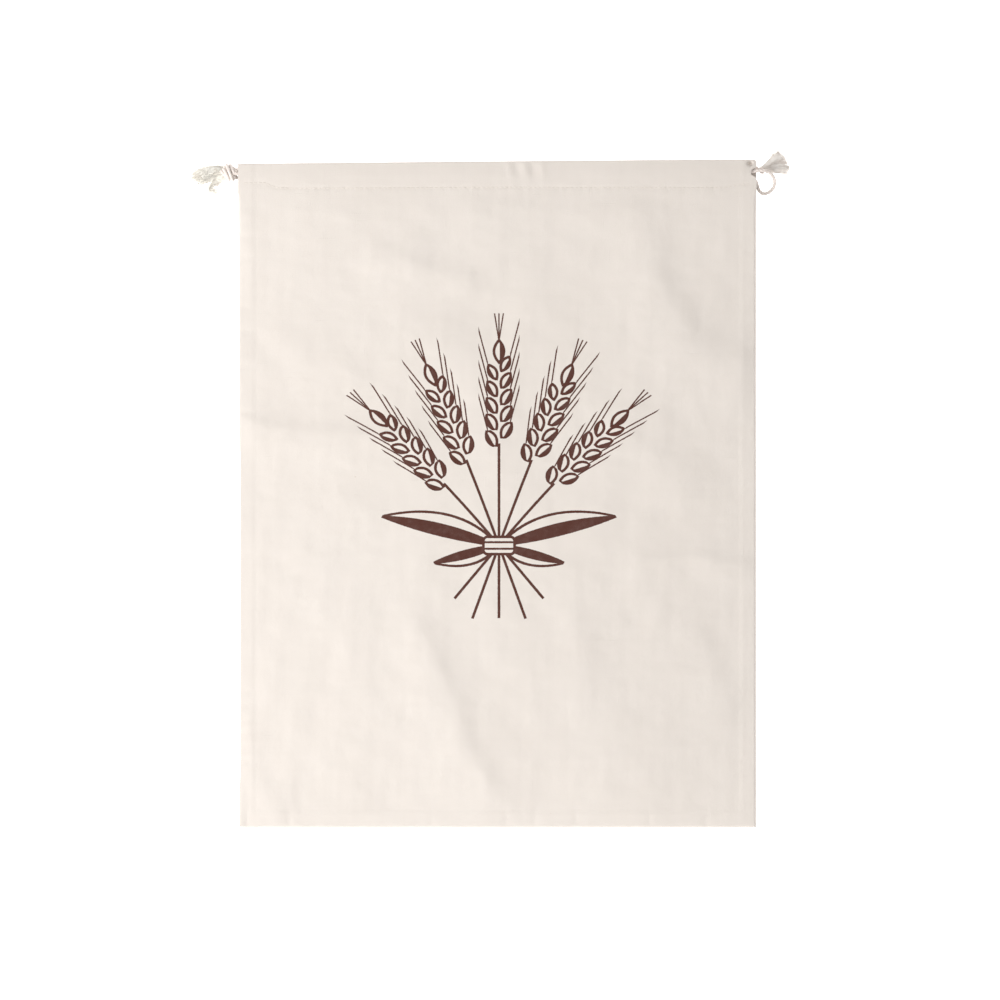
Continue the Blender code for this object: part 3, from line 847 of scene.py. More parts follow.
def plain_weave() -> bpy.types.NodeTree:
    """Builds the group for a plain weave of uneven yarns with thick places.

    Returns:
        The group: its height, and a share that is 1 on the yarns' tops and lower between them, which the linen
            turns into painted shade in the gaps.
    """
    group = ShaderGroup(
        "plain_weave",
        {"Vector": (VECTOR, None), "Pitch": (FLOAT, 0.0006), "Unevenness": (FLOAT, 0.25)},
        {"Height": FLOAT, "Yarn Top": FLOAT},
    )
    w = group.wiring
    place, pitch, uneven = group.field("Vector"), group.field("Pitch"), group.field("Unevenness")
    x, y, _ = w.parts(place)
    drift_x = (w.noise(w.stretched(place, (180.0, 40.0, 1.0)), 1.0) - 0.5) * uneven
    drift_y = (w.noise(w.stretched(place, (40.0, 180.0, 1.0)), 1.0) - 0.5) * uneven
    u = x / pitch + drift_x * 2.0
    v = y / pitch + drift_y * 2.0
    warp, weft = w.math("FLOOR", u), w.math("FLOOR", v)
    across_u = (u - warp) * 2.0 - 1.0
    across_v = (v - weft) * 2.0 - 1.0
    round_u = 1.0 - across_u * across_u
    round_v = 1.0 - across_v * across_v
    over_u = w.math("COSINE", (v - 0.5 + warp) * math.pi) * 0.5 + 0.5
    over_v = w.math("COSINE", (u + 0.5 + weft) * math.pi) * 0.5 + 0.5
    slub_u = w.between(w.noise(w.joined(warp * 7.7, y * 55.0), 1.0, 1.0), 0.68, 0.8)
    slub_v = w.between(w.noise(w.joined(x * 55.0, weft * 7.7, 3.0), 1.0, 1.0), 0.68, 0.8)
    thick_u = w.noise(w.joined(warp * 3.7, y * 90.0), 1.0, 1.0) * uneven * 2.0 + 1.0 - uneven
    thick_v = w.noise(w.joined(x * 90.0, weft * 3.7, 5.0), 1.0, 1.0) * uneven * 2.0 + 1.0 - uneven
    risen_u = round_u * over_u * thick_u + slub_u * round_u * 0.6
    risen_v = round_v * over_v * thick_v + slub_v * round_v * 0.6
    height = w.math("MAXIMUM", risen_u, risen_v)
    group.give("Height", height)
    # The yarn-top share: low between the yarns, where the linen paints shade.
    group.give("Yarn Top", w.between(height, 0.0, 0.55))
    return group.tree


def lens(w: Wiring, a: Field, b: Field, length: object, width: object) -> Field:
    """Works out how far a place is outside a pointed oval.

    Args:
        w: The tree to add to.
        a: The place along the oval from its middle.
        b: The place across it.
        length: Half the oval's length.
        width: Half its width.

    Returns:
        The distance to its outline, below 0 inside it.
    """
    share = a / length
    edge = (1.0 - share * share) * width
    slope = share / length * width * 2.0
    steep = w.math("SQRT", slope * slope + 1.0)
    return (w.math("ABSOLUTE", b) - edge) / steep


def line_of(w: Wiring, distance: Field, width: object) -> Field:
    """Draws a line of some width where the distance is 0."""
    return 1.0 - w.between(w.math("ABSOLUTE", distance) - width * 0.5, -0.08, 0.08)


def inside_of(w: Wiring, distance: Field) -> Field:
    """A mask that is 1 where the distance is below 0."""
    return 1.0 - w.between(distance, -0.08, 0.08)


def turned(w: Wiring, x: Field, y: Field, angle: object) -> tuple[Field, Field]:
    """Turns a place so that the first number runs along the angle from +Y, towards +X."""
    cosine, sine = w.math("COSINE", angle), w.math("SINE", angle)
    return y * cosine + x * sine, x * cosine - y * sine


def wheat_stalk() -> bpy.types.NodeTree:
    """Builds the group that draws one stalk of wheat, from its cut foot to its bearded ear.

    Returns:
        The group: a mask of the ink, from a place in millimetres with the tie at the origin.
    """
    group = ShaderGroup(
        "wheat_stalk",
        {
            "Vector": (VECTOR, None),
            "Angle": (FLOAT, 0.0),
            "Bend": (FLOAT, 0.0),
            "Foot": (FLOAT, 46.0),
            "Ear Start": (FLOAT, 44.0),
            "Line": (FLOAT, 1.6),
        },
        {"Mask": FLOAT},
    )
    w = group.wiring
    x, y, _ = w.parts(group.field("Vector"))
    line, start = group.field("Line"), group.field("Ear Start")
    along, aside = turned(w, x, y, group.field("Angle"))
    risen = w.math("MAXIMUM", along, 0.0)
    aside = aside - group.field("Bend") * risen * risen
    pitch, grains, tilt = 9.6, 5.0, math.radians(29)
    grain_length, grain_width, grain_out = 5.5, 2.7, 4.3
    side = w.math("ABSOLUTE", aside)
    right = w.math("GREATER_THAN", aside, 0.0)
    cell = (along - start) / pitch - right * 0.5
    number = w.math("FLOOR", cell)
    counted = w.math("GREATER_THAN", number, -0.5) * w.math("LESS_THAN", number, grains - 0.5)
    taper = 1.0 - number * number * 0.009
    up = (cell - number - 0.5) * pitch
    out = side - grain_out * taper
    a = up * math.cos(tilt) + out * math.sin(tilt)
    b = out * math.cos(tilt) - up * math.sin(tilt)
    grain = lens(w, a, b, grain_length * taper, grain_width * taper)
    outline = line_of(w, grain, line)
    shaded = inside_of(w, grain) * w.between(b - 0.35, 0.0, 0.3)
    drawn = w.math("MAXIMUM", outline, shaded) * counted

    top = start + pitch * (grains + 0.5) + 2.4
    tip = lens(w, along - top, aside, 6.4, 2.9)
    tip_fill = inside_of(w, tip) * w.between(aside - 0.3, 0.0, 0.3)
    drawn = w.math("MAXIMUM", drawn, w.math("MAXIMUM", line_of(w, tip, line), tip_fill))

    beard_tilt = math.radians(15)
    from_grain = side - (grain_out + grain_length * math.sin(tilt) - 0.6)
    beard = along - start - from_grain / math.tan(beard_tilt)
    beard_cell = (beard - pitch * 0.5 - grain_length * math.cos(tilt) * 0.9) / pitch - right * 0.5
    beard_number = w.math("FLOOR", beard_cell + 0.5)
    beard_away = (beard_cell - beard_number) * pitch * math.sin(beard_tilt)
    bearded = w.math("GREATER_THAN", beard_number, -0.5) * w.math("LESS_THAN", beard_number, grains - 0.5)
    reach = w.between(from_grain, -0.1, 0.1) * (1.0 - w.between(from_grain, 5.4, 5.6))
    drawn = w.math("MAXIMUM", drawn, line_of(w, beard_away, line * 0.5) * bearded * reach)

    over_tip = along - top - 6.0
    for lean in (-0.16, 0.0, 0.16):
        hair = line_of(w, aside - over_tip * lean, line * 0.5)
        length = w.between(over_tip, -0.2, 0.2) * (1.0 - w.between(over_tip, 15.8, 16.2))
        drawn = w.math("MAXIMUM", drawn, hair * length)

    foot = group.field("Foot") * -1.0
    stem = line_of(w, aside, line) * w.math("GREATER_THAN", along, foot)
    stem = stem * w.math("LESS_THAN", along, start + 2.0)
    group.give("Mask", w.math("MAXIMUM", drawn, stem))
    return group.tree


def wheat_leaf() -> bpy.types.NodeTree:
    """Builds the group that draws one long leaf, half of it filled.

    Returns:
        The group: a mask of the ink, from a place in millimetres with the leaf's root at the origin.
    """
    group = ShaderGroup(
        "wheat_leaf",
        {
            "Vector": (VECTOR, None),
            "Angle": (FLOAT, 0.0),
            "Bend": (FLOAT, 0.0),
            "Half Length": (FLOAT, 36.0),
            "Half Width": (FLOAT, 6.0),
            "Filled Side": (FLOAT, 1.0),
            "Line": (FLOAT, 1.6),
        },
        {"Mask": FLOAT},
    )
    w = group.wiring
    x, y, _ = w.parts(group.field("Vector"))
    line, half = group.field("Line"), group.field("Half Length")
    along, aside = turned(w, x, y, group.field("Angle"))
    risen = w.math("MAXIMUM", along, 0.0)
    aside = (aside - group.field("Bend") * risen * risen) * group.field("Filled Side")
    leaf = lens(w, along - half, aside, half, group.field("Half Width"))
    reached = w.math("GREATER_THAN", along, 0.0) * w.math("LESS_THAN", along, half * 2.0)
    outline = line_of(w, leaf, line) * reached
    rib = line_of(w, aside, line * 0.7) * reached
    fill = inside_of(w, leaf) * w.between(aside, 0.0, 0.2) * reached
    group.give("Mask", w.math("MAXIMUM", outline, w.math("MAXIMUM", rib, fill)))
    return group.tree


def wheat_sheaf() -> bpy.types.NodeTree:
    """Builds the group that draws the whole print, a tied sheaf of five ears.

    Returns:
        The group: a mask of the ink, from a place on the bag in metres.
    """
    group = ShaderGroup("wheat_sheaf", {"Vector": (VECTOR, None), "Line": (FLOAT, 1.6)}, {"Mask": FLOAT})
    w = group.wiring
    place = w.vector("MULTIPLY", group.field("Vector"), (1e3, 1e3, 1e3))
    tie = w.vector("SUBTRACT", place, (1.0, -30.0, 0.0))
    line = group.field("Line")
    drawn: Field | float = 0.0
    stalks = ((-40, -0.0006, 40.0, 46.0), (-20, -0.0003, 45.0, 51.0), (0, 0.0, 42.0, 57.0))
    stalks += ((20, 0.0003, 45.0, 51.0), (40, 0.0006, 40.0, 46.0))
    for degrees, bend, foot, start in stalks:
        inputs = {"Vector": tie, "Angle": math.radians(degrees), "Bend": bend, "Foot": foot}
        stalk = ShaderGroup.place(w, wheat_stalk, {**inputs, "Ear Start": start, "Line": line})
        drawn = w.math("MAXIMUM", drawn, stalk.outputs[0])
    leaves = ((-63, -0.0034, 34.0, 6.4, -1.0), (63, 0.0034, 34.0, 6.4, 1.0))
    leaves += ((-118, 0.006, 19.0, 4.2, 1.0), (118, -0.006, 19.0, 4.2, -1.0))
    for degrees, bend, half, width, filled in leaves:
        inputs = {"Vector": tie, "Angle": math.radians(degrees), "Bend": bend, "Half Length": half}
        inputs |= {"Half Width": width, "Filled Side": filled, "Line": line}
        leaf = ShaderGroup.place(w, wheat_leaf, inputs)
        drawn = w.math("MAXIMUM", drawn, leaf.outputs[0])
    x, y, _ = w.parts(tie)
    half_width, half_height, corner = 9.0, 5.0, 2.4
    beyond_x = w.math("MAXIMUM", w.math("ABSOLUTE", x) - (half_width - corner), 0.0)
    beyond_y = w.math("MAXIMUM", w.math("ABSOLUTE", y) - (half_height - corner), 0.0)
    band = w.math("SQRT", beyond_x * beyond_x + beyond_y * beyond_y) - corner
    turns = line_of(w, w.math("ABSOLUTE", y) - 1.9, line * 0.75) * inside_of(w, band)
    drawn = drawn * (1.0 - inside_of(w, band))
    drawn = w.math("MAXIMUM", drawn, w.math("MAXIMUM", line_of(w, band, line), turns))
    group.give("Mask", drawn)
    return group.tree


@dataclass(frozen=True)
class LinenFinish:
    """Unbleached linen in a plain weave, with or without the printed sheaf."""

    colour: tuple = (0.725, 0.672, 0.624, 1.0)
    # The darker tone of the linen, mixed in at random and, as painted shade, in the gaps between the yarns.
    shade: tuple = (0.655, 0.590, 0.528, 1.0)
    fleck: tuple = (0.42, 0.30, 0.18, 1.0)
    ink: tuple = (0.076, 0.021, 0.013, 1.0)
    yarn_pitch: float = 0.00062
    unevenness: float = 0.28
    roughness: float = 0.92
    sheen: float = 0.12
    relief: float = 0.00016
    printed: bool = False

    def material(self, name: str) -> bpy.types.Material:
        """Makes the cloth's material.

        Args:
            name: The material's name.

        Returns:
            The new material.
        """
        made = bpy.data.materials.new(name)
        made.use_nodes = True
        w = Wiring(made.node_tree)
        shader = made.node_tree.nodes["Principled BSDF"]
        place = w.add("ShaderNodeTexCoord").outputs["Object"]
        cloth = w.add("ShaderNodeUVMap", {"uv_map": "cloth"}).outputs[0]
        weave = ShaderGroup.place(
            w, plain_weave, {"Vector": cloth, "Pitch": self.yarn_pitch, "Unevenness": self.unevenness}
        )
        cloudy = w.noise(place, 14.0, 3.0) * 0.5 + w.noise(place, 95.0, 2.0) * 0.3
        streaky = w.noise(w.stretched(cloth, (420.0, 16.0, 1.0)), 1.0) * 0.5
        streaky = streaky + w.noise(w.stretched(cloth, (16.0, 420.0, 1.0)), 1.0) * 0.5
        shaded = (cloudy - 0.4) * 0.5 + (streaky - 0.5) * 0.22 + 0.3
        # Painted shade: the gaps between the yarns are darkened, where the weave shades itself.
        shaded = shaded + (1.0 - Field(w, weave.outputs["Yarn Top"])) * 0.35
        colour = w.mixed(w.math("MINIMUM", w.math("MAXIMUM", shaded, 0.0), 1.0), self.colour, self.shade)
        spaced = w.stretched(cloth, (1.0, 1.6, 1.0))
        cells = w.add("ShaderNodeTexVoronoi", inputs={"Vector": spaced, "Scale": 62.0})
        chosen = w.math("GREATER_THAN", w.parts(cells.outputs["Color"])[0], 0.78)
        fleck = (1.0 - w.between(cells.outputs["Distance"], 0.012, 0.03)) * chosen
        colour = w.mixed(fleck * 0.55, colour, self.fleck)
        roughness: Field | float = self.roughness
        if self.printed:
            fuzz = w.add("ShaderNodeTexNoise", inputs={"Vector": cloth, "Scale": 1400.0}).outputs["Color"]
            frayed = w.vector("SUBTRACT", fuzz, (0.5, 0.5, 0.5))
            moved = w.vector("ADD", place, w.vector("MULTIPLY", frayed, (0.0004, 0.0004, 0.0)))
            print_mask = Field(w, ShaderGroup.place(w, wheat_sheaf, {"Vector": moved}).outputs[0])
            worn = 0.95 + w.noise(place, 260.0, 2.0) * 0.1 - (1.0 - Field(w, weave.outputs["Yarn Top"])) * 0.12
            covered = w.math("MINIMUM", print_mask * worn, 1.0)
            colour = w.mixed(covered, colour, self.ink)
            roughness = self.roughness - covered * 0.12
        w.feed(shader.inputs["Base Color"], colour)
        w.feed(shader.inputs["Roughness"], roughness)
        height = weave.outputs["Height"]
        raised = w.add("ShaderNodeBump", inputs={"Height": height, "Distance": self.relief, "Strength": 0.8})
        w.feed(shader.inputs["Normal"], raised.outputs[0])
        shader.inputs["Sheen Weight"].default_value = self.sheen
        shader.inputs["Sheen Roughness"].default_value = 0.5
        shader.inputs["Specular IOR Level"].default_value = 0.2
        return made


@dataclass(frozen=True)
class YarnFinish:
    """Spun cotton whose fibres run along a strand."""

    colour: tuple
    # The darker tone, mixed in along the fibres and at random, and as painted shade near the threads' roots and
    # on the darkest locks.
    shade: tuple
    roughness: float = 0.9
    sheen: float = 0.2
    fibre_length: float = 260.0
    # How much painted shade darkens the threads near their roots, where the knot shades them, and over what
    # length.
    root_shade: float = 0.0
    root_length: float = 0.006
    tone_and_shade_spread: float = 0.45

    def material(self, name: str) -> bpy.types.Material:
        """Makes the yarn's material.

        Args:
            name: The material's name.

        Returns:
            The new material.
        """
        made = bpy.data.materials.new(name)
        made.use_nodes = True
        w = Wiring(made.node_tree)
        shader = made.node_tree.nodes["Principled BSDF"]
        place = w.add("ShaderNodeTexCoord").outputs["Object"]
        along = Field(w, w.add("ShaderNodeAttribute", {"attribute_name": "along"}).outputs["Fac"])
        around = Field(w, w.add("ShaderNodeAttribute", {"attribute_name": "around"}).outputs["Fac"])
        # Each thread's tone holds its lock's tone, which on the darkest locks is painted shade.
        lone = Field(w, w.add("ShaderNodeAttribute", {"attribute_name": "thread_tone_and_shade"}).outputs["Fac"])
        fibres = w.noise(w.joined(along * self.fibre_length, around * 9.0), 1.0, 3.0)
        patchy = w.noise(place, 380.0, 2.0)
        # Painted shade: the threads are darkened near their roots, where the knot shades them.
        painted_root_shade = (1.0 - w.between(along, 0.0, self.root_length)) * self.root_shade
        share = (fibres - 0.5) * 1.1 + (patchy - 0.5) * 0.7 + lone * self.tone_and_shade_spread + painted_root_shade + 0.2
        share = w.math("MINIMUM", w.math("MAXIMUM", share, 0.0), 1.0)
        w.feed(shader.inputs["Base Color"], w.mixed(share, self.colour, self.shade))
        w.feed(shader.inputs["Roughness"], self.roughness + (fibres - 0.5) * 0.1)
        raised = w.add("ShaderNodeBump", inputs={"Height": fibres, "Distance": 0.0001, "Strength": 0.7})
        w.feed(shader.inputs["Normal"], raised.outputs[0])
        shader.inputs["Sheen Weight"].default_value = self.sheen
        shader.inputs["Sheen Roughness"].default_value = 0.4
        shader.inputs["Specular IOR Level"].default_value = 0.25
        return made


class GeometryTree:
    """A Geometry Nodes tree with named inputs, built in the script and run once on an object."""

    def __init__(self, name: str, inputs: dict) -> None:
        """Makes the tree and its sockets.

        Args:
            name: The tree's name.
            inputs: The kind and the value of each input, by name.
        """
        self.tree = bpy.data.node_groups.new(name, "GeometryNodeTree")
        self.tree.interface.new_socket(name="Geometry", in_out="INPUT", socket_type="NodeSocketGeometry")
        self.tree.interface.new_socket(name="Geometry", in_out="OUTPUT", socket_type="NodeSocketGeometry")
        for label, (kind, value) in inputs.items():
            socket = self.tree.interface.new_socket(name=label, in_out="INPUT", socket_type=kind)
            if value is not None:
                socket.default_value = value
        self.wiring = Wiring(self.tree)
        self.source = self.tree.nodes.new("NodeGroupInput")
        self.target = self.tree.nodes.new("NodeGroupOutput")

    def field(self, name: str) -> Field:
        """The value of one input."""
        return Field(self.wiring, self.source.outputs[name])

    def stored(self, geometry: object, name: str, value: object, kind: str = "FLOAT") -> bpy.types.NodeSocket:
        """Keeps a value on the geometry under a name, for later nodes and for the material."""
        settings = {"data_type": kind, "domain": "POINT"}
        inputs = {"Geometry": geometry, "Name": name}
        node = self.wiring.add("GeometryNodeStoreNamedAttribute", settings, inputs)
        self.wiring.feed(next(s for s in node.inputs if s.name == "Value" and s.enabled), value)
        return node.outputs[0]

    def recalled(self, name: str, kind: str = "FLOAT") -> Field:
        """Reads back a value that was kept under a name."""
        node = self.wiring.add("GeometryNodeInputNamedAttribute", {"data_type": kind}, {"Name": name})
        return Field(self.wiring, next(s for s in node.outputs if s.name == "Attribute" and s.enabled))

    def finish(self, geometry: object, material: bpy.types.Material, rounded: bool = True) -> None:
        """Ends the tree: instances made real, shaded smooth or flat, with their material."""
        w = self.wiring
        real = w.add("GeometryNodeRealizeInstances", inputs={0: geometry})
        soft = w.add("GeometryNodeSetShadeSmooth", inputs={"Geometry": real.outputs[0], "Shade Smooth": rounded})
        dressed = w.add("GeometryNodeSetMaterial", inputs={"Geometry": soft.outputs[0], "Material": material})
        w.feed(self.target.inputs[0], dressed.outputs[0])

    def run(
        self, name: str, routes: Sequence[np.ndarray], inputs: dict, extra: dict | None = None
    ) -> bpy.types.Object:
        """Runs the tree on polylines and keeps the result as a plain mesh.

        Args:
            name: The finished object's name.
            routes: The points of each polyline, in metres.
            inputs: A value for each named input that isn't left as it is.
            extra: A number for each polyline, by the name it is kept under.

        Returns:
            The finished object.
        """
        guide = bpy.data.meshes.new(f"{name}_guide")
        points, edges = [], []
        for route in routes:
            first = len(points)
            points += [tuple(point) for point in route]
            edges += [(first + i, first + i + 1) for i in range(len(route) - 1)]
        guide.from_pydata(points, edges, [])
        for label, values in (extra or {}).items():
            kept = guide.attributes.new(label, "FLOAT", "POINT")
            spread = [value for value, route in zip(values, routes) for _ in route]
            kept.data.foreach_set("value", spread)
        carrier = bpy.data.objects.new(f"{name}_guide", guide)
        bpy.context.scene.collection.objects.link(carrier)
        modifier = carrier.modifiers.new("maker", "NODES")
        modifier.node_group = self.tree
        sockets = {s.name: s.identifier for s in self.tree.interface.items_tree if s.in_out == "INPUT"}
        for label, value in inputs.items():
            modifier[sockets[label]] = value
        bpy.context.view_layer.update()
        graph = bpy.context.evaluated_depsgraph_get()
        data = bpy.data.meshes.new_from_object(carrier.evaluated_get(graph))
        data.name = name
        made = bpy.data.objects.new(name, data)
        bpy.context.scene.collection.objects.link(made)
        bpy.data.objects.remove(carrier)
        return made


def laid_cord_tree(material: bpy.types.Material) -> GeometryTree:
    """Builds the tree that lays strands round a route as a twisted cord."""
    tree = GeometryTree(
        "laid_cord",
        {
            "Strands": ("NodeSocketInt", 3),
            "Lay": (FLOAT, 0.0062),
            "Offset": (FLOAT, 0.00052),
            "Strand Radius": (FLOAT, 0.00056),
            "Sides": ("NodeSocketInt", 8),
            "Step": (FLOAT, 0.0006),
            "Looseness": (FLOAT, 0.00005),
        },
    )
    w = tree.wiring
    line = w.add("GeometryNodeMeshToCurve", inputs={0: tree.field("Geometry")}).outputs[0]
    inputs = {"Curve": line, "Length": tree.field("Step")}
    line = w.add("GeometryNodeResampleCurve", {"mode": "LENGTH"}, inputs).outputs[0]
    line = tree.stored(line, "along", w.add("GeometryNodeSplineParameter").outputs["Length"])
    line = tree.stored(line, "tangent", w.add("GeometryNodeInputTangent").outputs[0], "FLOAT_VECTOR")
    line = tree.stored(line, "aside", w.add("GeometryNodeInputNormal").outputs[0], "FLOAT_VECTOR")
    inputs = {"Geometry": line, "Amount": tree.field("Strands")}
    copies = w.add("GeometryNodeDuplicateElements", {"domain": "SPLINE"}, inputs)
    number = Field(w, copies.outputs["Duplicate Index"])
    along = tree.recalled("along")
    strands = Field(w, tree.field("Strands").socket)
    angle = (along / tree.field("Lay") + number / strands) * (2.0 * math.pi)
    aside = tree.recalled("aside", "FLOAT_VECTOR")
    upward = w.vector("CROSS_PRODUCT", tree.recalled("tangent", "FLOAT_VECTOR"), aside)
    cosine, sine = w.math("COSINE", angle), w.math("SINE", angle)
    loose = (w.noise(w.joined(along * 210.0, number * 7.3), 1.0) - 0.5) * tree.field("Looseness") * 2.0
    reach = tree.field("Offset") + loose
    offset = w.vector(
        "ADD",
        w.vector("MULTIPLY", aside, w.joined(cosine * reach, cosine * reach, cosine * reach)),
        w.vector("MULTIPLY", upward, w.joined(sine * reach, sine * reach, sine * reach)),
    )
    moved = w.add("GeometryNodeSetPosition", inputs={"Geometry": copies.outputs[0], "Offset": offset})
    inputs = {"Resolution": tree.field("Sides"), "Radius": tree.field("Strand Radius")}
    ring = w.add("GeometryNodeCurvePrimitiveCircle", inputs=inputs)
    profile = tree.stored(ring.outputs[0], "around", w.add("GeometryNodeSplineParameter").outputs["Factor"])
    tube = w.add(
        "GeometryNodeCurveToMesh", inputs={"Curve": moved.outputs[0], "Profile Curve": profile, "Fill Caps": True}
    )
    tree.finish(tube.outputs[0], material)
    return tree


def frayed_tree(material: bpy.types.Material) -> GeometryTree:
    """Builds the tree that frays the locks of a tassel into many fine threads."""
    tree = GeometryTree(
        "frayed_threads",
        {
            "Threads": ("NodeSocketInt", 60),
            "Points": ("NodeSocketInt", 14),
            "Root Spread": (FLOAT, 0.0007),
            "Tip Spread": (FLOAT, 0.0015),
            "Thread Radius": (FLOAT, 0.00013),
            "Waviness": (FLOAT, 0.0009),
            "Shortest": (FLOAT, 0.86),
            "Floor": (FLOAT, 0.00012),
            "Seed": ("NodeSocketInt", 3),
        },
    )
    w = tree.wiring
    line = w.add("GeometryNodeMeshToCurve", inputs={0: tree.field("Geometry")}).outputs[0]
    inputs = {"Curve": line, "Count": tree.field("Points")}
    line = w.add("GeometryNodeResampleCurve", {"mode": "COUNT"}, inputs).outputs[0]
    line = tree.stored(line, "tangent", w.add("GeometryNodeInputTangent").outputs[0], "FLOAT_VECTOR")
    line = tree.stored(line, "aside", w.add("GeometryNodeInputNormal").outputs[0], "FLOAT_VECTOR")
    inputs = {"Geometry": line, "Amount": tree.field("Threads")}
    copies = w.add("GeometryNodeDuplicateElements", {"domain": "SPLINE"}, inputs)
    lone = w.add("GeometryNodeCurveOfPoint").outputs["Curve Index"]

    def drawn(low: float, high: float, more: int) -> Field:
        """A random number for each thread."""
        seed = w.math("ADD", tree.field("Seed"), float(more))
        node = w.add("FunctionNodeRandomValue", {"data_type": "FLOAT"})
        for socket in node.inputs:
            if not socket.enabled:
                continue
            value = {"Min": low, "Max": high, "ID": lone, "Seed": seed}.get(socket.name)
            if value is not None:
                w.feed(socket, value)
        return Field(w, next(s for s in node.outputs if s.enabled))

    share = Field(w, w.add("GeometryNodeSplineParameter").outputs["Factor"])
    angle = drawn(0.0, 2.0 * math.pi, 0)
    reach = w.math("SQRT", drawn(0.0, 1.0, 1))
    opened = tree.field("Tip Spread") - tree.field("Root Spread")
    spread = tree.field("Root Spread") + opened * share * drawn(0.6, 1.25, 2)
    aside = tree.recalled("aside", "FLOAT_VECTOR")
    upward = w.vector("CROSS_PRODUCT", tree.recalled("tangent", "FLOAT_VECTOR"), aside)
    twist = angle + share * drawn(-1.4, 1.4, 3)
    cosine, sine = w.math("COSINE", twist) * reach * spread, w.math("SINE", twist) * reach * spread
    offset = w.vector(
        "ADD",
        w.vector("MULTIPLY", aside, w.joined(cosine, cosine, cosine)),
        w.vector("MULTIPLY", upward, w.joined(sine, sine, sine)),
    )
    here = w.add("GeometryNodeInputPosition").outputs[0]
    own = w.joined(drawn(0.0, 40.0, 4), drawn(0.0, 40.0, 5))
    lookup = w.vector("ADD", w.vector("MULTIPLY", here, (330.0, 330.0, 330.0)), own)
    wave = w.add("ShaderNodeTexNoise", inputs={"Vector": lookup, "Scale": 1.0, "Detail": 2.0}).outputs["Color"]
    sway = w.vector("SUBTRACT", wave, (0.5, 0.5, 0.5))
    much = tree.field("Waviness") * share * 2.0
    offset = w.vector("ADD", offset, w.vector("MULTIPLY", sway, w.joined(much, much, much)))
    moved = w.add("GeometryNodeSetPosition", inputs={"Geometry": copies.outputs[0], "Offset": offset})
    x, y, z = w.parts(w.add("GeometryNodeInputPosition").outputs[0])
    lifted = w.joined(x, y, w.math("MAXIMUM", z, tree.field("Floor")))
    laid = w.add("GeometryNodeSetPosition", inputs={"Geometry": moved.outputs[0], "Position": lifted})
    cut = w.add("GeometryNodeTrimCurve", {"mode": "FACTOR"}, {"Curve": laid.outputs[0]})
    ends = [s for s in cut.inputs if s.enabled and s.name in ("Start", "End")]
    w.feed(ends[0], 0.0)
    w.feed(ends[1], w.math("MINIMUM", tree.field("Shortest") + drawn(0.0, 0.3, 6), 1.0))
    # A random tone for each thread plus its lock's tone, which on the darkest locks is painted shade.
    threads = tree.stored(cut.outputs[0], "thread_tone_and_shade", drawn(-0.5, 1.0, 7) + tree.recalled("lock_tone_and_shade"))
    threads = tree.stored(threads, "along", w.add("GeometryNodeSplineParameter").outputs["Length"])
    thin = w.add("GeometryNodeSetCurveRadius", inputs={"Curve": threads, "Radius": 1.0 - share * 0.35}).outputs[0]
    inputs = {"Resolution": 3, "Radius": tree.field("Thread Radius")}
    ring = w.add("GeometryNodeCurvePrimitiveCircle", inputs=inputs)
    inputs = {"Curve": thin, "Profile Curve": ring.outputs[0], "Fill Caps": True}
    pipe = w.add("GeometryNodeCurveToMesh", inputs=inputs)
    if "Scale" in pipe.inputs:
        w.feed(pipe.inputs["Scale"], 1.0 - share * 0.35)
    tree.finish(pipe.outputs[0], material, rounded=False)
    return tree


def stitch_tree(material: bpy.types.Material) -> GeometryTree:
    """Builds the tree that sews a row of stitches along a line."""
    tree = GeometryTree(
        "stitch_row",
        {
            "Pitch": (FLOAT, 0.0027),
            "Stitch Length": (FLOAT, 0.0022),
            "Thread Radius": (FLOAT, 0.00017),
            "Unevenness": (FLOAT, 0.08),
            "Seed": ("NodeSocketInt", 5),
        },
    )
    w = tree.wiring
    line = w.add("GeometryNodeMeshToCurve", inputs={0: tree.field("Geometry")}).outputs[0]
    inputs = {"Curve": line, "Length": tree.field("Pitch")}
    line = w.add("GeometryNodeResampleCurve", {"mode": "LENGTH"}, inputs).outputs[0]
    grain = w.add("GeometryNodeMeshUVSphere", inputs={"Segments": 8, "Rings": 6, "Radius": 1.0})
    radius = tree.field("Thread Radius")
    size = w.joined(tree.field("Stitch Length") * 0.5, radius, radius)
    turn = w.add("FunctionNodeAlignRotationToVector", {"axis": "X"})
    w.feed(turn.inputs["Vector"], w.add("GeometryNodeInputTangent").outputs[0])
    uneven = w.add("FunctionNodeRandomValue", {"data_type": "FLOAT"})
    for socket in uneven.inputs:
        if socket.enabled and socket.name == "Min":
            w.feed(socket, 1.0 - tree.field("Unevenness"))
        if socket.enabled and socket.name == "Max":
            w.feed(socket, 1.0 + tree.field("Unevenness"))
        if socket.enabled and socket.name == "Seed":
            w.feed(socket, tree.field("Seed"))
    change = Field(w, next(s for s in uneven.outputs if s.enabled))
    placed = w.add(
        "GeometryNodeInstanceOnPoints",
        inputs={
            "Points": line,
            "Instance": grain.outputs[0],
            "Rotation": turn.outputs[0],
            "Scale": w.vector("MULTIPLY", size, w.joined(change, change, change)),
        },
    )
    tree.finish(placed.outputs[0], material)
    return tree


def curve_through(points: Sequence[Sequence[float]], step: float) -> np.ndarray:
    """Follows a smooth curve through points.

    Args:
        points: The points that it passes through.
        step: About how far apart the new points are.

    Returns:
        The new points.
    """
    given = [np.array(point, dtype=float) for point in points]
    found = []
    for i in range(len(given) - 1):
        a, b, c = given[max(0, i - 1)], given[i], given[i + 1]
        d = given[min(len(given) - 1, i + 2)]
        before, after = (c - a) * 0.5, (d - b) * 0.5
        count = max(1, math.ceil(np.linalg.norm(c - b) / step))
        for k in range(count):
            s = k / count
            whole = b * (2 * s**3 - 3 * s**2 + 1) + c * (3 * s**2 - 2 * s**3)
            found.append(whole + before * (s**3 - 2 * s**2 + s) + after * (s**3 - s**2))
    return np.array(found + [given[-1]])


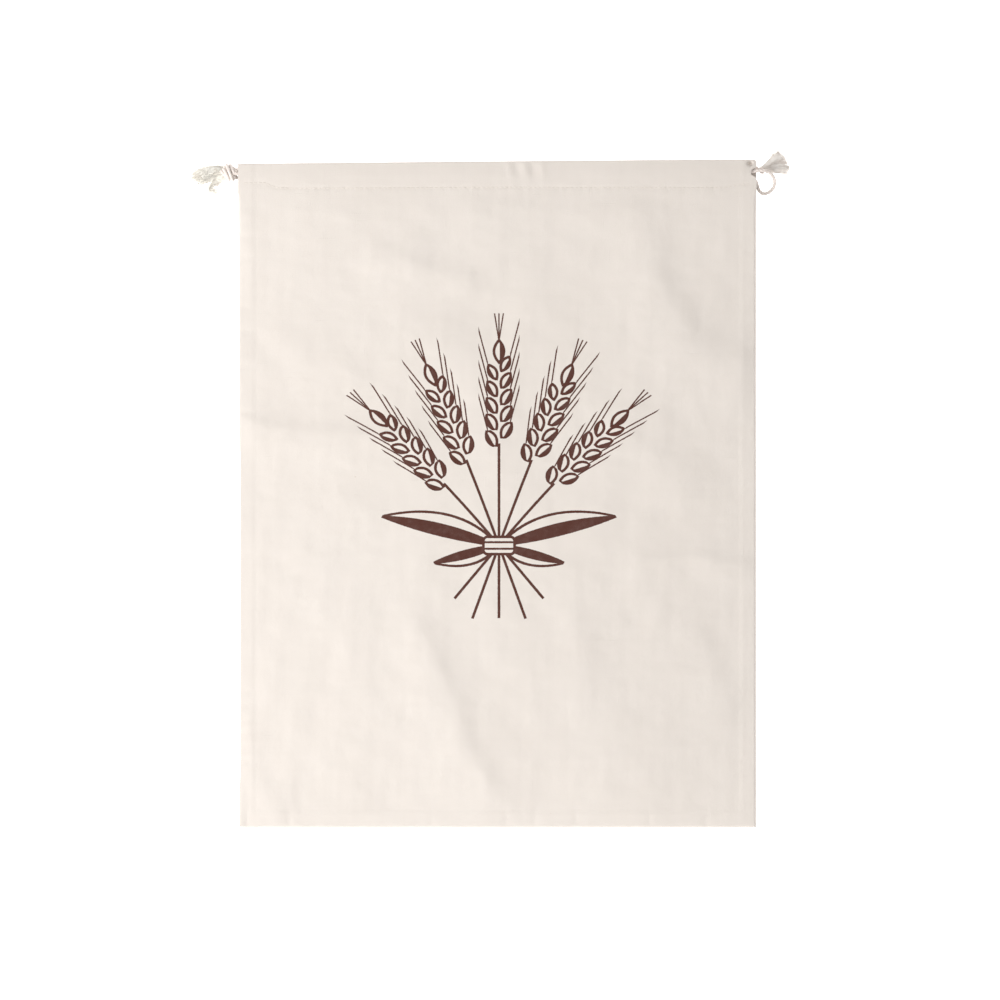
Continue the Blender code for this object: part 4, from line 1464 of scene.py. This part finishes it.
LEFT_CORD_ROUTE = (
    (-153.1, 185.4, 6.3),
    (-149.8, 185.1, 6.9),
    (-145.0, 185.5, 7.35),
    (-128.0, 186.2, 8.8),
    (-104.0, 186.4, 10.26),
    (-70.0, 186.6, 11.4),
    (-30.0, 186.9, 11.86),
    (10.0, 187.2, 11.9),
    (50.0, 187.4, 11.71),
    (90.0, 187.3, 10.82),
    (120.0, 186.7, 9.34),
    (140.0, 186.1, 7.83),
    (146.0, 186.0, 7.3),
    (151.3, 186.9, 7.4),
    (155.8, 186.4, 6.4),
    (159.1, 184.2, 4.2),
    (160.6, 180.9, 2.2),
    (160.0, 177.2, 1.1),
    (157.4, 174.5, 0.95),
    (154.2, 173.6, 0.95),
    (151.7, 175.3, 0.95),
    (150.6, 178.4, 1.5),
    (149.3, 181.3, 2.7),
    (146.0, 183.1, 2.2),
    (140.0, 183.4, 2.2),
    (120.0, 184.4, 2.2),
    (80.0, 186.4, 2.2),
    (30.0, 187.0, 2.2),
    (-30.0, 186.4, 2.2),
    (-80.0, 185.4, 2.2),
    (-120.0, 183.0, 2.2),
    (-140.0, 181.5, 2.2),
    (-146.0, 181.4, 2.2),
    (-149.6, 182.4, 2.2),
    (-152.4, 184.0, 2.4),
)
RIGHT_CORD_ROUTE = (
    (150.7, 188.2, 4.8),
    (149.2, 188.5, 6.2),
    (146.6, 188.7, 7.2),
    (140.0, 188.8, 7.83),
    (120.0, 189.2, 9.34),
    (90.0, 189.7, 10.82),
    (50.0, 189.8, 11.71),
    (10.0, 189.6, 11.9),
    (-30.0, 189.3, 11.86),
    (-70.0, 189.0, 11.4),
    (-104.0, 188.8, 10.26),
    (-128.0, 188.6, 8.8),
    (-140.0, 188.4, 7.83),
    (-145.8, 188.4, 7.35),
    (-149.3, 188.3, 6.6),
    (-150.7, 187.0, 4.6),
    (-149.6, 185.0, 2.8),
    (-146.0, 184.0, 2.2),
    (-140.0, 184.0, 2.2),
    (-120.0, 185.6, 2.2),
    (-80.0, 187.8, 2.2),
    (-30.0, 188.8, 2.2),
    (30.0, 189.4, 2.2),
    (80.0, 189.0, 2.2),
    (120.0, 187.4, 2.2),
    (140.0, 186.6, 2.2),
    (146.0, 186.6, 2.2),
    (150.3, 187.0, 2.4),
)


@dataclass(frozen=True)
class Lock:
    """A frayed lock of a tassel: its underside's height, its width at the root, its plan and its tone. The
    darkest tones are painted shade, on the locks that stand in for a tassel's hollow, its dark streak and the gap
    between the right tassel's lobes.
    """

    base: float
    width: float
    plan: tuple
    tone: float = 0.0


@dataclass(frozen=True)
class Knot:
    """A wound knot: its middle, its half sizes, and the doubled cord that its turns are made of."""

    middle: tuple
    half: tuple
    cord: float
    turns: float
    lean: float
    lay: float


@dataclass
class Tassel:
    """The knotted and frayed ends of a drawstring."""

    hand: Hand
    knot: Knot
    locks: tuple
    cord_finish: YarnFinish
    thread_finish: YarnFinish
    threads: int
    root_spread: float = 0.7
    tip_spread: float = 1.5
    waviness: float = 0.9
    fall: float = 2.6
    turn_steps: int = 22
    seed: int = 3

    def knot_route(self) -> np.ndarray:
        """Winds the knot's turns round its middle.

        Returns:
            The points of the cord that it is wound of.
        """
        cx, cy, cz = self.knot.middle
        half_x, half_y, half_z = self.knot.half
        radius = self.knot.cord / 2
        steps = round(self.turn_steps * self.knot.turns)
        route = []
        for i in range(steps + 1):
            share = i / steps
            angle = 2.0 * math.pi * self.knot.turns * share + math.pi / 3
            x = cx + (half_x - radius) * (2.0 * share - 1.0) - self.knot.lean * math.cos(angle)
            swell = 1.0 - 0.16 * (2.0 * share - 1.0) ** 2
            y = cy + (half_y - radius) * swell * math.cos(angle)
            z = max(radius * 1.05, cz + (half_z - radius) * swell * math.sin(angle))
            route.append((x, y, z))
        return np.array(route)

    def lock_routes(self) -> list[np.ndarray]:
        """Works out the middle line of each lock.

        Returns:
            The points of each, from the knot to where it lies.
        """
        routes = []
        for lock in self.locks:
            plan = curve_through(lock.plan, 1.2)
            share = np.linspace(0.0, 1.0, len(plan))
            root = max(0.0, self.knot.middle[2] - lock.base) / 2
            height = lock.base + root * (1.0 - smooth(share * self.fall)) + lock.width * 0.45
            routes.append(np.column_stack((plan, height)))
        return routes

    def build(self) -> list[bpy.types.Object]:
        """Makes the knot and its frayed threads.

        Returns:
            The two pieces.
        """
        name = f"tassel_{self.hand.value}"
        cord_material = self.cord_finish.material(f"{name}_knot_cotton")
        radius = self.knot.cord / 2 * MM
        knot = laid_cord_tree(cord_material).run(
            f"{name}_knot",
            [self.knot_route() * MM],
            {
                "Strands": 2,
                "Lay": self.knot.lay * MM,
                "Offset": radius * 0.48,
                "Strand Radius": radius * 0.54,
                "Sides": 12,
                "Step": 0.0003,
                "Looseness": radius * 0.06,
            },
        )
        threads = frayed_tree(self.thread_finish.material(f"{name}_frayed_cotton")).run(
            f"{name}_threads",
            [route * MM for route in self.lock_routes()],
            {
                "Threads": self.threads,
                "Root Spread": self.root_spread * MM,
                "Tip Spread": self.tip_spread * MM,
                "Waviness": self.waviness * MM,
                "Seed": self.seed,
            },
            {"lock_tone_and_shade": [lock.tone for lock in self.locks]},
        )
        for piece in (knot, threads):
            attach(piece, BODY)
            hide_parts(name)
        return [knot, threads]


LEFT_KNOT = Knot((-154.9, 185.9, 4.2), (5.2, 5.5, 4.2), 3.5, 2.1, 1.7, 24.0)
RIGHT_KNOT = Knot((153.0, 187.2, 2.5), (2.3, 2.3, 2.4), 1.8, 2.0, 0.5, 12.0)
# The locks darkened to 1.3 and 1.6 carry painted shade for the tassel's dark streak and its hollow.
LEFT_LOCKS = (
    Lock(0.0, 2.2, ((-157.4, 188.4), (-163.0, 188.8), (-169.8, 187.4), (-175.6, 184.8))),
    Lock(0.0, 2.1, ((-157.4, 187.2), (-164.0, 187.4), (-171.5, 186.0), (-177.9, 183.2)), 0.4),
    Lock(0.0, 2.1, ((-157.4, 186.0), (-164.0, 185.4), (-170.8, 183.4), (-177.0, 181.8))),
    Lock(0.0, 2.0, ((-157.4, 184.6), (-163.5, 182.4), (-169.0, 181.0), (-174.0, 180.2))),
    Lock(0.0, 2.0, ((-156.6, 182.4), (-161.4, 180.4), (-165.6, 178.4), (-166.6, 175.4), (-162.0, 174.6))),
    Lock(0.0, 1.2, ((-158.6, 182.4), (-161.8, 180.4), (-163.4, 178.8)), 1.6),
    Lock(2.0, 2.0, ((-157.4, 187.8), (-162.6, 188.7), (-168.0, 187.0), (-173.4, 184.4))),
    Lock(2.4, 1.2, ((-157.8, 186.2), (-164.0, 186.6), (-170.0, 185.2), (-175.0, 183.0)), 1.3),
    Lock(2.0, 1.9, ((-157.4, 185.0), (-163.4, 183.9), (-168.0, 182.0), (-172.4, 180.6))),
    Lock(4.0, 1.9, ((-157.4, 186.4), (-162.4, 187.2), (-166.8, 186.0), (-171.2, 183.6))),
)
# The locks of the lower lobe are a little darker; the thin lock darkened to 1.6 carries painted shade for the
# dark gap between the two lobes.
RIGHT_LOCKS = (
    Lock(0.0, 1.9, ((152.6, 188.2), (157.0, 191.4), (160.6, 196.2))),
    Lock(0.0, 1.9, ((152.6, 188.2), (157.8, 191.8), (163.6, 197.8))),
    Lock(0.0, 1.9, ((152.6, 188.2), (158.6, 191.8), (166.4, 195.4))),
    Lock(0.0, 1.9, ((152.6, 187.9), (159.8, 190.2), (168.4, 191.2)), 0.4),
    Lock(0.0, 1.9, ((152.6, 187.6), (160.2, 188.2), (169.2, 188.6)), 0.3),
    Lock(0.0, 1.8, ((152.6, 187.3), (160.2, 186.8), (168.4, 186.2)), 0.5),
    Lock(2.2, 1.8, ((152.6, 188.2), (157.6, 191.8), (162.0, 196.4))),
    Lock(2.2, 1.8, ((152.6, 188.1), (158.6, 191.9), (165.2, 196.0))),
    Lock(2.6, 0.8, ((154.0, 189.0), (159.4, 191.5), (167.4, 192.6)), 1.6),
    Lock(2.2, 1.8, ((152.6, 187.8), (159.6, 189.4), (167.4, 190.0)), 0.3),
    Lock(2.2, 1.8, ((152.6, 187.5), (159.8, 187.8), (167.6, 187.6)), 0.4),
)


@dataclass
class Drawstring:
    """A thin twisted cord that runs round through both casings."""

    hand: Hand
    route: tuple
    finish: YarnFinish
    diameter: float = 1.8
    step: float = 0.8
    floor_clearance: float = 1.12

    def build(self, tassel: list[bpy.types.Object]) -> bpy.types.Object:
        """Args:
            tassel: The knot and the threads at its ends.

        Returns:
            The cord.
        """
        name = f"drawstring_{self.hand.value}"
        path = curve_through(self.route, self.step)
        path[:, 2] = np.maximum(path[:, 2], self.floor_clearance)
        path = path * MM
        made = laid_cord_tree(self.finish.material(f"{name}_cotton")).run(f"{name}_cord", [path], {})
        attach(made, BODY)
        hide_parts(name)
        tuple(path[0])
        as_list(tassel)
        return made


@dataclass
class CasingStitches:
    """The two rows of stitches that close the casings."""

    form: BagForm
    finish: YarnFinish
    margin: float = 4.6
    step: float = 1.2
    proud: float = 0.06

    def row(self, panel: Panel) -> np.ndarray:
        """Follows the stitch line on a panel's outer side.

        Args:
            panel: The panel that it is sewn through.

        Returns:
            The points of the line.
        """
        reach = self.form.width / 2 - self.margin
        x = np.arange(-reach, reach, self.step)
        y = self.form.top_edge(x) - self.form.stitch_depth(x)
        z = panel.outside_level(x, y) + self.proud * panel.facing.value
        return np.column_stack((x, y, z))

    def build(self, panels: Sequence[Panel]) -> list[bpy.types.Object]:
        """Sews a row through each panel.

        Args:
            panels: The front and the back.

        Returns:
            A piece for each row.
        """
        tree = stitch_tree(self.finish.material("sewing_thread_cotton"))
        made = []
        for panel in panels:
            piece = tree.run(f"{panel.node}_casing_stitches", [self.row(panel) * MM], {})
            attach(piece, BODY)
            made.append(piece)
        return made


@dataclass
class Studio:
    """A white floor, soft light from the lower left, and the camera straight above."""

    picture_width: float = 0.578592
    picture_middle: tuple = (0.00159, -0.0037)
    camera_height: float = 6.0
    seen_level: float = 0.006
    sensor: float = 36.0
    floor_size: float = 6.0
    room_light: float = 0.62
    lights: dict = field(
        default_factory=lambda: {
            "key": ((-1.32, -0.615, 1.06), 0.8, 26.2),
            "fill": ((0.4, 0.3, 3.2), 3.0, 26.0),
        }
    )

    def floor(self) -> None:
        """Lays a plain white floor."""
        half = self.floor_size / 2
        data = bpy.data.meshes.new("floor")
        corners = [(-half, -half, -0.0001), (half, -half, -0.0001), (half, half, -0.0001), (-half, half, -0.0001)]
        data.from_pydata(corners, [], [(0, 1, 2, 3)])
        made = bpy.data.objects.new("floor", data)
        bpy.context.scene.collection.objects.link(made)
        material = bpy.data.materials.new("white_floor")
        material.use_nodes = True
        shader = material.node_tree.nodes["Principled BSDF"]
        shader.inputs["Base Color"].default_value = (0.93, 0.93, 0.93, 1.0)
        shader.inputs["Roughness"].default_value = 0.9
        shader.inputs["Emission Color"].default_value = (1.0, 1.0, 1.0, 1.0)
        shader.inputs["Emission Strength"].default_value = 1.0
        data.materials.append(material)

    def light(self) -> None:
        """Hangs the soft lights and lights the room evenly."""
        for name, (place, size, watts) in self.lights.items():
            data = bpy.data.lights.new(name, "AREA")
            data.shape = "DISK"
            data.size = size
            data.energy = watts
            lamp = bpy.data.objects.new(name, data)
            lamp.location = place
            lamp.rotation_euler = (Vector(place) * -1.0).to_track_quat("-Z", "Y").to_euler()
            bpy.context.scene.collection.objects.link(lamp)
        world = bpy.data.worlds.new("studio")
        world.use_nodes = True
        world.node_tree.nodes["Background"].inputs["Color"].default_value = (1.0, 1.0, 1.0, 1.0)
        world.node_tree.nodes["Background"].inputs["Strength"].default_value = self.room_light
        bpy.context.scene.world = world
        bpy.context.scene.view_settings.view_transform = "Standard"

    def camera(self) -> None:
        """Sets the camera straight above the bag."""
        data = bpy.data.cameras.new("camera")
        data.sensor_width = self.sensor
        data.lens = self.sensor * (self.camera_height - self.seen_level) / self.picture_width
        data.clip_end = 50.0
        made = bpy.data.objects.new("camera", data)
        made.location = (*self.picture_middle, self.camera_height)
        bpy.context.scene.collection.objects.link(made)
        bpy.context.scene.camera = made

    def build(self) -> None:
        """Sets the whole studio up."""
        self.camera()
        self.floor()
        self.light()


LINEN = LinenFinish()
PRINTED_LINEN = LinenFinish(printed=True)
CORD_COTTON = YarnFinish((0.80, 0.73, 0.68, 1.0), (0.56, 0.48, 0.44, 1.0))
PALE_COTTON = YarnFinish((0.96, 0.94, 0.88, 1.0), (0.80, 0.75, 0.68, 1.0), sheen=0.3, root_shade=0.2)
FRAYED_COTTON = YarnFinish(
    (0.95, 0.92, 0.88, 1.0), (0.72, 0.66, 0.61, 1.0), sheen=0.3, root_shade=0.35, tone_and_shade_spread=0.4
)
SEWING_COTTON = YarnFinish((0.74, 0.68, 0.62, 1.0), (0.62, 0.55, 0.48, 1.0))


def main() -> None:
    """Builds the studio, the cords, the panels and the sewing, in that order."""
    logging.basicConfig(level=logging.INFO, format="%(message)s")
    Studio().build()
    form = BagForm.from_frame()
    tassels = {
        Hand.LEFT: Tassel(
            Hand.LEFT, LEFT_KNOT, LEFT_LOCKS, CORD_COTTON, PALE_COTTON,
            threads=64, root_spread=1.1, tip_spread=2.1, waviness=2.6,
        ),
        Hand.RIGHT: Tassel(
            Hand.RIGHT, RIGHT_KNOT, RIGHT_LOCKS, CORD_COTTON, FRAYED_COTTON,
            threads=56, root_spread=0.7, tip_spread=1.7, waviness=1.6, seed=8,
        ),
    }
    for hand, route in ((Hand.LEFT, LEFT_CORD_ROUTE), (Hand.RIGHT, RIGHT_CORD_ROUTE)):
        pieces = tassels[hand].build()
        pieces.append(Drawstring(hand, route, CORD_COTTON).build(pieces[:]))
        for piece in pieces:
            log.info("%s has %d faces", piece.name, len(piece.data.polygons))
    panels = [FrontPanel(form, PRINTED_LINEN), BackPanel(form, LINEN)]
    for panel in panels:
        log.info("%s has %d faces", panel.name, len(panel.build().data.polygons))
    for piece in CasingStitches(form, SEWING_COTTON).build(panels):
        log.info("%s has %d faces", piece.name, len(piece.data.polygons))


if __name__ == "__main__":
    main()
